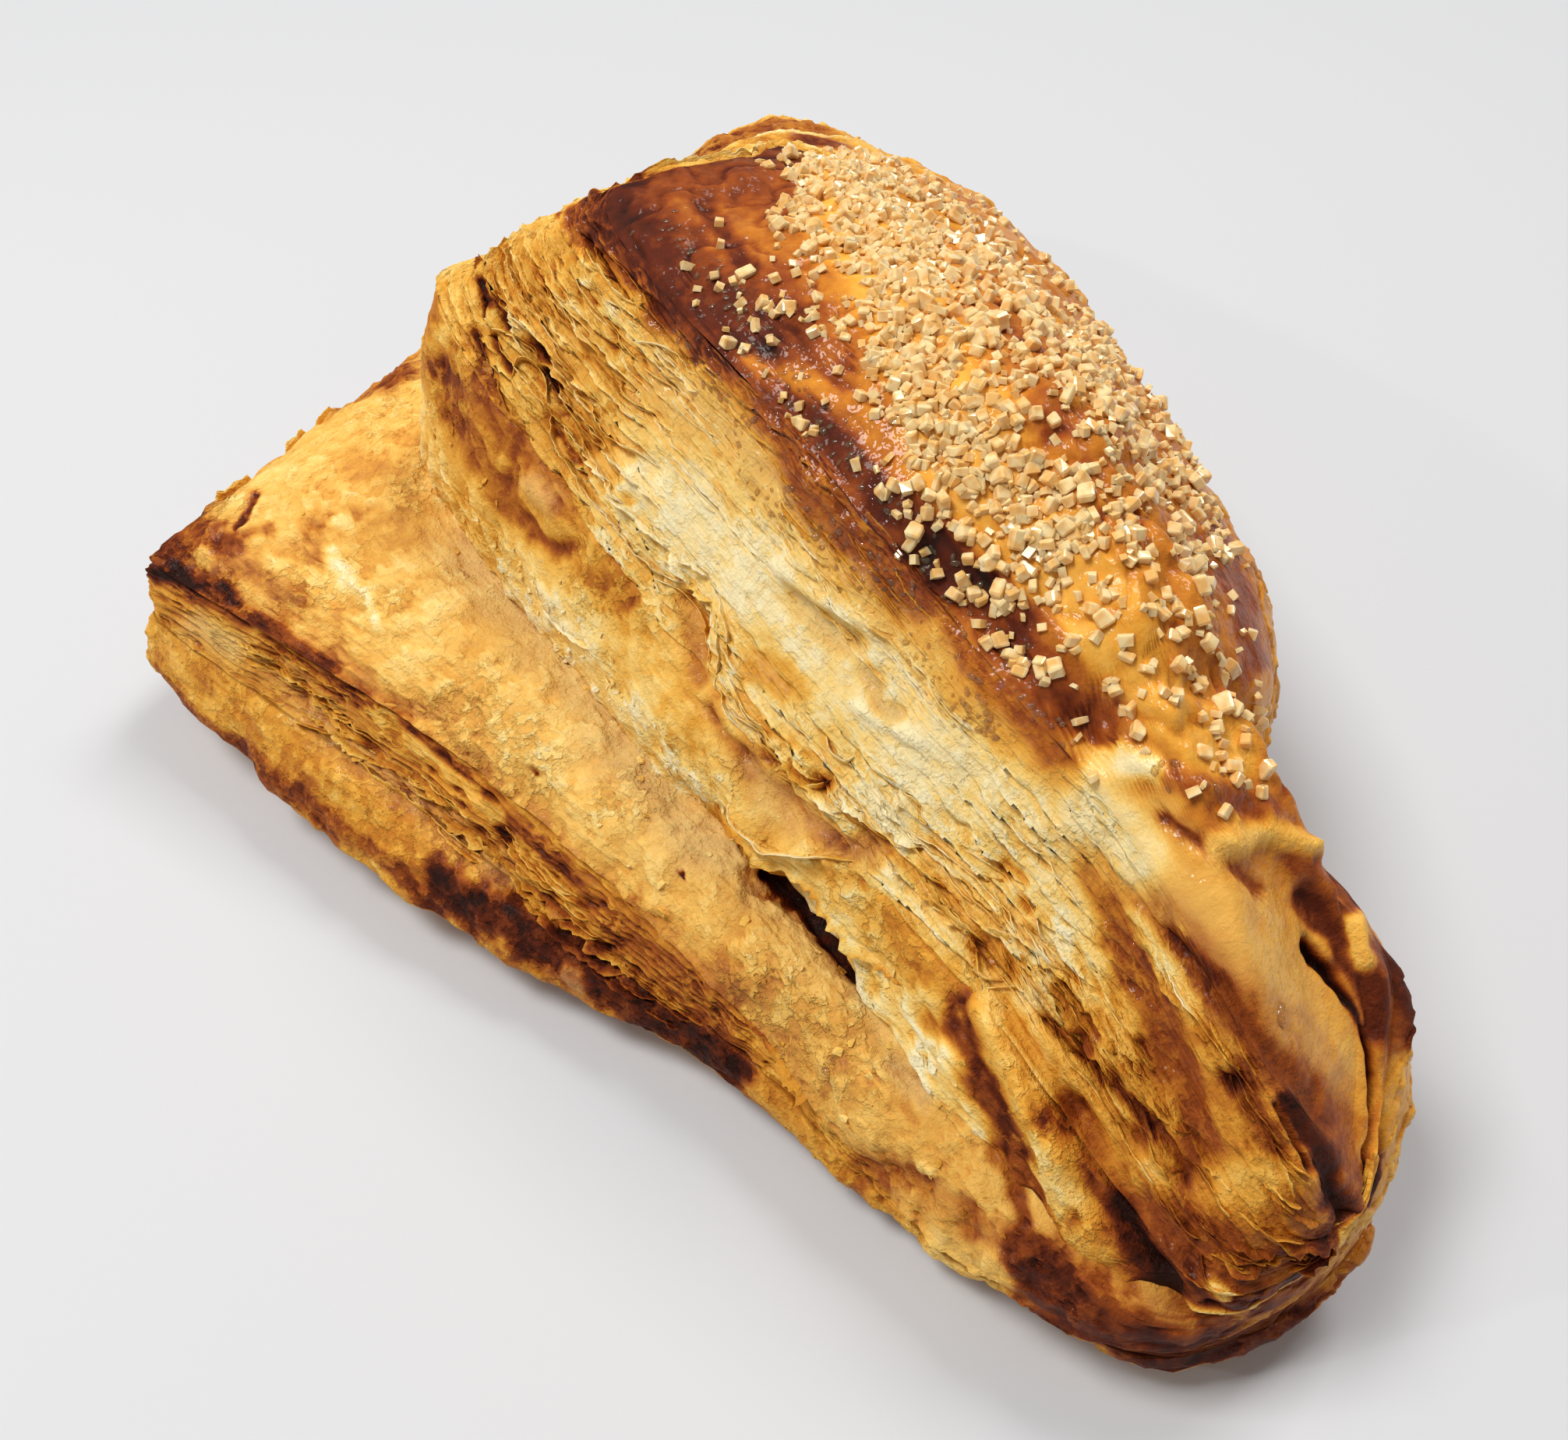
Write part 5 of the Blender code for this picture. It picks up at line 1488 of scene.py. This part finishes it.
class TURNOVER_OT_loose_leaves(bpy.types.Operator):
    """Thin leaves and flakes of pastry that stand off the crust, seen in the photograph or like it"""
    bl_idname = "turnover.loose_leaves"
    bl_label = "Loose leaves"

    def execute(self, context):
        parts = []
        for seed, (crust, path, tall, lean, curl, pale) in enumerate(LEAVES.values()):
            patch, grid = crusts[crust]
            i, j = places_on_path(patch, path)
            parts.append(loose_leaf(patch, grid, i, j, tall, lean, curl, pale, 100 + 7 * seed))
        random = np.random.default_rng(5)
        for crust, path, width, count, lengths, heights, pale in LEAF_THICKETS.values():
            patch, grid = crusts[crust]
            if path is None:
                cover = (1 - ease(patch.seen, 0.0, 0.1)) * ease(patch.open, 0.2, 0.5)
                cover = cover * ease(patch.t, 0.02, 0.1) * np.isin(patch.bands, ("fan", "strip"))[:, None]
            else:
                cover = touch(patch, path, width, 4.0, 0.0)
            step = np.linalg.norm(np.roll(grid, -1, 1) - grid, axis=2)
            chance = (cover * step).ravel()
            for cell in random.choice(chance.size, count, p=chance / chance.sum()):
                row, column = divmod(int(cell), grid.shape[1])
                length = random.uniform(*lengths)
                points = max(int(length / LEAF_SPACING), 6)
                j = column + np.linspace(-0.5, 0.5, points) * length / max(step[row, column], 0.1)
                i = row + np.cumsum(random.normal(0, 0.25, points)) + 1.2 * np.linspace(-1, 1, points)**2
                parts.append(loose_leaf(patch, grid, evened(i), j, random.uniform(*heights),
                                        random.uniform(-0.3, 0.4), random.uniform(-0.5, 0.6),
                                        pale + random.uniform(-0.06, 0.06), 500 + 7 * len(parts)))
        leaves = joined(parts)
        look = {"bake": leaves.bake, "glaze": 0.1, "fibre": 0.6, "raw": 0.0, "flaky": 0.3}
        new_piece("loose_leaves", leaves.points, leaves.faces,
                  pastry_material("flaked_puff_pastry", 1.0), look, {"lay": leaves.lay}, fold=60)
        return {"FINISHED"}


class TURNOVER_OT_crumbs(bpy.types.Operator):
    """Crumbs and small flakes of blistered skin that lie on the ledge and the foot of the wall"""
    bl_idname = "turnover.crumbs"
    bl_label = "Crumbs"

    def execute(self, context):
        density = {}
        for crust, path, width, crumbs in CRUMB_SPREAD.values():
            density[crust] = density.get(crust, 0) + crumbs * touch(crusts[crust][0], path, width)
        hidden = crusts["ledge"][0]
        density["ledge"] = density["ledge"] + 0.03 * (1 - ease(hidden.seen, 0, 0.1)) * hidden.open
        places, normals, random, bake = scattered(density, 17, GRAIN_GAP["crumbs"])
        count = len(places)
        widths = random.uniform(0.2, 0.6, (count, 1))
        sizes = widths * random.uniform([0.8, 0.5, 0.14], [1.3, 1.0, 0.3], (count, 3))
        normals = unit(normals + random.normal(0, 0.28, (count, 3)))
        form = bead_form(2, 5)
        points, faces = repeated(form, places + normals * 0.08, facing(normals, random), sizes)
        points += 0.2 * np.stack([noise(points, 0.35, seed) for seed in (81, 82, 83)], -1)
        bake = np.repeat(bake - random.uniform(0.02, 0.18, count), len(form[0]))
        look = {"bake": bake, "glaze": 0.0, "fibre": 0.0, "raw": 0.0, "flaky": 0.3}
        new_piece("crumbs", points, faces, pastry_material("crumbled_puff_pastry", 0.5), look,
                  {"lay": points}, smooth=False)
        return {"FINISHED"}


class TURNOVER_OT_sugar(bpy.types.Operator):
    """Coarse sugar: chamfered crystals strewn over the glazed back, thickest along its crest"""
    bl_idname = "turnover.sugar"
    bl_label = "Coarse sugar"

    def execute(self, context):
        sugar = context.scene.turnover.sugar
        density = {}
        for name in ("dome", "fan", "ledge"):
            patch = crusts[name][0]
            share = sum(grains * touch(patch, path, width, 2.5)
                        for path, width, grains in SUGAR_SPREAD.values())
            hidden = 0.30 * (1 - patch.seen) * ease(patch.grid[..., 2], 18.0, 34.0)
            hidden = hidden * ease(patch.grid[..., 1], -50.0, -25.0)
            share = share + hidden * (1 if name != "ledge" else 0.2)
            if name != "dome":
                share = share * (1 - ease(patch.open, 0.25, 0.5))
            density[name] = share * sugar.cover
        places, normals, random, _ = scattered(density, sugar.seed, GRAIN_GAP["sugar"])
        if not len(places):
            raise RuntimeError("no sugar fell on the crust")
        small, large = sugar.smallest / MM / 2, sugar.largest / MM / 2
        size = small + (large - small) * random.random((len(places), 1)) ** 1.9
        sizes = size * random.uniform([0.8, 0.65, 0.55], [1.35, 1.05, 0.95], (len(places), 3))
        raised_by = random.uniform(0.0, 0.9, (len(places), 1)) * sizes.min(1, keepdims=True)
        turns = np.linalg.qr(random.normal(size=(len(places), 3, 3)))[0]
        turns[np.linalg.det(turns) < 0] *= -1
        points, faces = np.zeros((0, 3)), []
        # Large grains have chamfered edges and small ones are plain blocks.
        coarse = size[:, 0] > CHAMFER_FROM
        for form, chosen in ((block_form(CHAMFER), coarse), (plain_block(), ~coarse)):
            made, sides = repeated(form, (places + normals * raised_by)[chosen], turns[chosen],
                                   sizes[chosen])
            faces += [[index + len(points) for index in face] for face in sides]
            points = np.concatenate([points, made])
        points += 0.10 * np.stack([noise(points, 0.7, seed) for seed in (71, 72, 73)], -1)
        new_piece("coarse_sugar", points, faces, sugar_material(), smooth=False)
        return {"FINISHED"}


class TURNOVER_OT_glaze_beads(bpy.types.Operator):
    """Beads of set syrup: one large drop on the front lobe and small ones along the ridge"""
    bl_idname = "turnover.glaze_beads"
    bl_label = "Syrup beads"

    def execute(self, context):
        density = {name: sum(beads * touch(crusts[name][0], path, width)
                             for path, width, beads in BEAD_SPREAD.values()) for name in ("dome", "fan")}
        places, normals, random, _ = scattered(density, 11, GRAIN_GAP["beads"])
        sizes = random.uniform(0.10, 0.32, (len(places), 1)) * np.array([1.0, 1.5, 0.55])
        for crust, path, size in DROPS.values():
            patch, grid = crusts[crust]
            i, j = places_on_path(patch, path, 3.0)
            places = np.concatenate([places, read_at(grid, i, j)[:1]])
            normals = np.concatenate([normals, read_at(patch.normal, i, j)[:1]])
            sizes = np.concatenate([sizes, [size]])
        points, faces = repeated(bead_form(5, 9), places, facing(normals, random), sizes)
        syrup = new_material("set_sugar_syrup", SYRUP_FINISH)[0]
        new_piece("syrup_beads", points, faces, syrup)
        return {"FINISHED"}


class TURNOVER_PT_panel(bpy.types.Panel):
    """Lists the turnover's pieces, with the sizes and colours that can be changed"""
    bl_label = "Apple turnover"
    bl_idname = "TURNOVER_PT_panel"
    bl_space_type = "VIEW_3D"
    bl_region_type = "UI"
    bl_category = "Turnover"

    def draw(self, context):
        settings = context.scene.turnover
        for group in (settings.colours, settings.sugar):
            for name in group.bl_rna.properties.keys():
                if name not in ("rna_type", "name"):
                    self.layout.prop(group, name)
        for operator in OPERATORS:
            self.layout.operator(operator.bl_idname)


GROUPS = (TurnoverColours, TurnoverSugar, TurnoverSettings)
OPERATORS = (TURNOVER_OT_stage, TURNOVER_OT_lower_flap, TURNOVER_OT_ledge, TURNOVER_OT_wall,
             TURNOVER_OT_layers, TURNOVER_OT_glazed_back, TURNOVER_OT_loose_leaves, TURNOVER_OT_crumbs,
             TURNOVER_OT_sugar, TURNOVER_OT_glaze_beads)


def register():
    """Adds the settings, the operators and the panel to Blender."""
    for group in GROUPS:
        bpy.utils.register_class(group)
    bpy.types.Scene.turnover = PointerProperty(type=TurnoverSettings)
    for operator in OPERATORS:
        bpy.utils.register_class(operator)
    bpy.utils.register_class(TURNOVER_PT_panel)


def unregister():
    """Takes them out again, in the opposite order."""
    bpy.utils.unregister_class(TURNOVER_PT_panel)
    for operator in reversed(OPERATORS):
        bpy.utils.unregister_class(operator)
    del bpy.types.Scene.turnover
    for group in reversed(GROUPS):
        bpy.utils.unregister_class(group)


def main():
    """Builds the stage and every piece."""
    register()
    for operator in OPERATORS:
        group, name = operator.bl_idname.split(".")
        getattr(getattr(bpy.ops, group), name)()


if __name__ == "__main__":
    main()
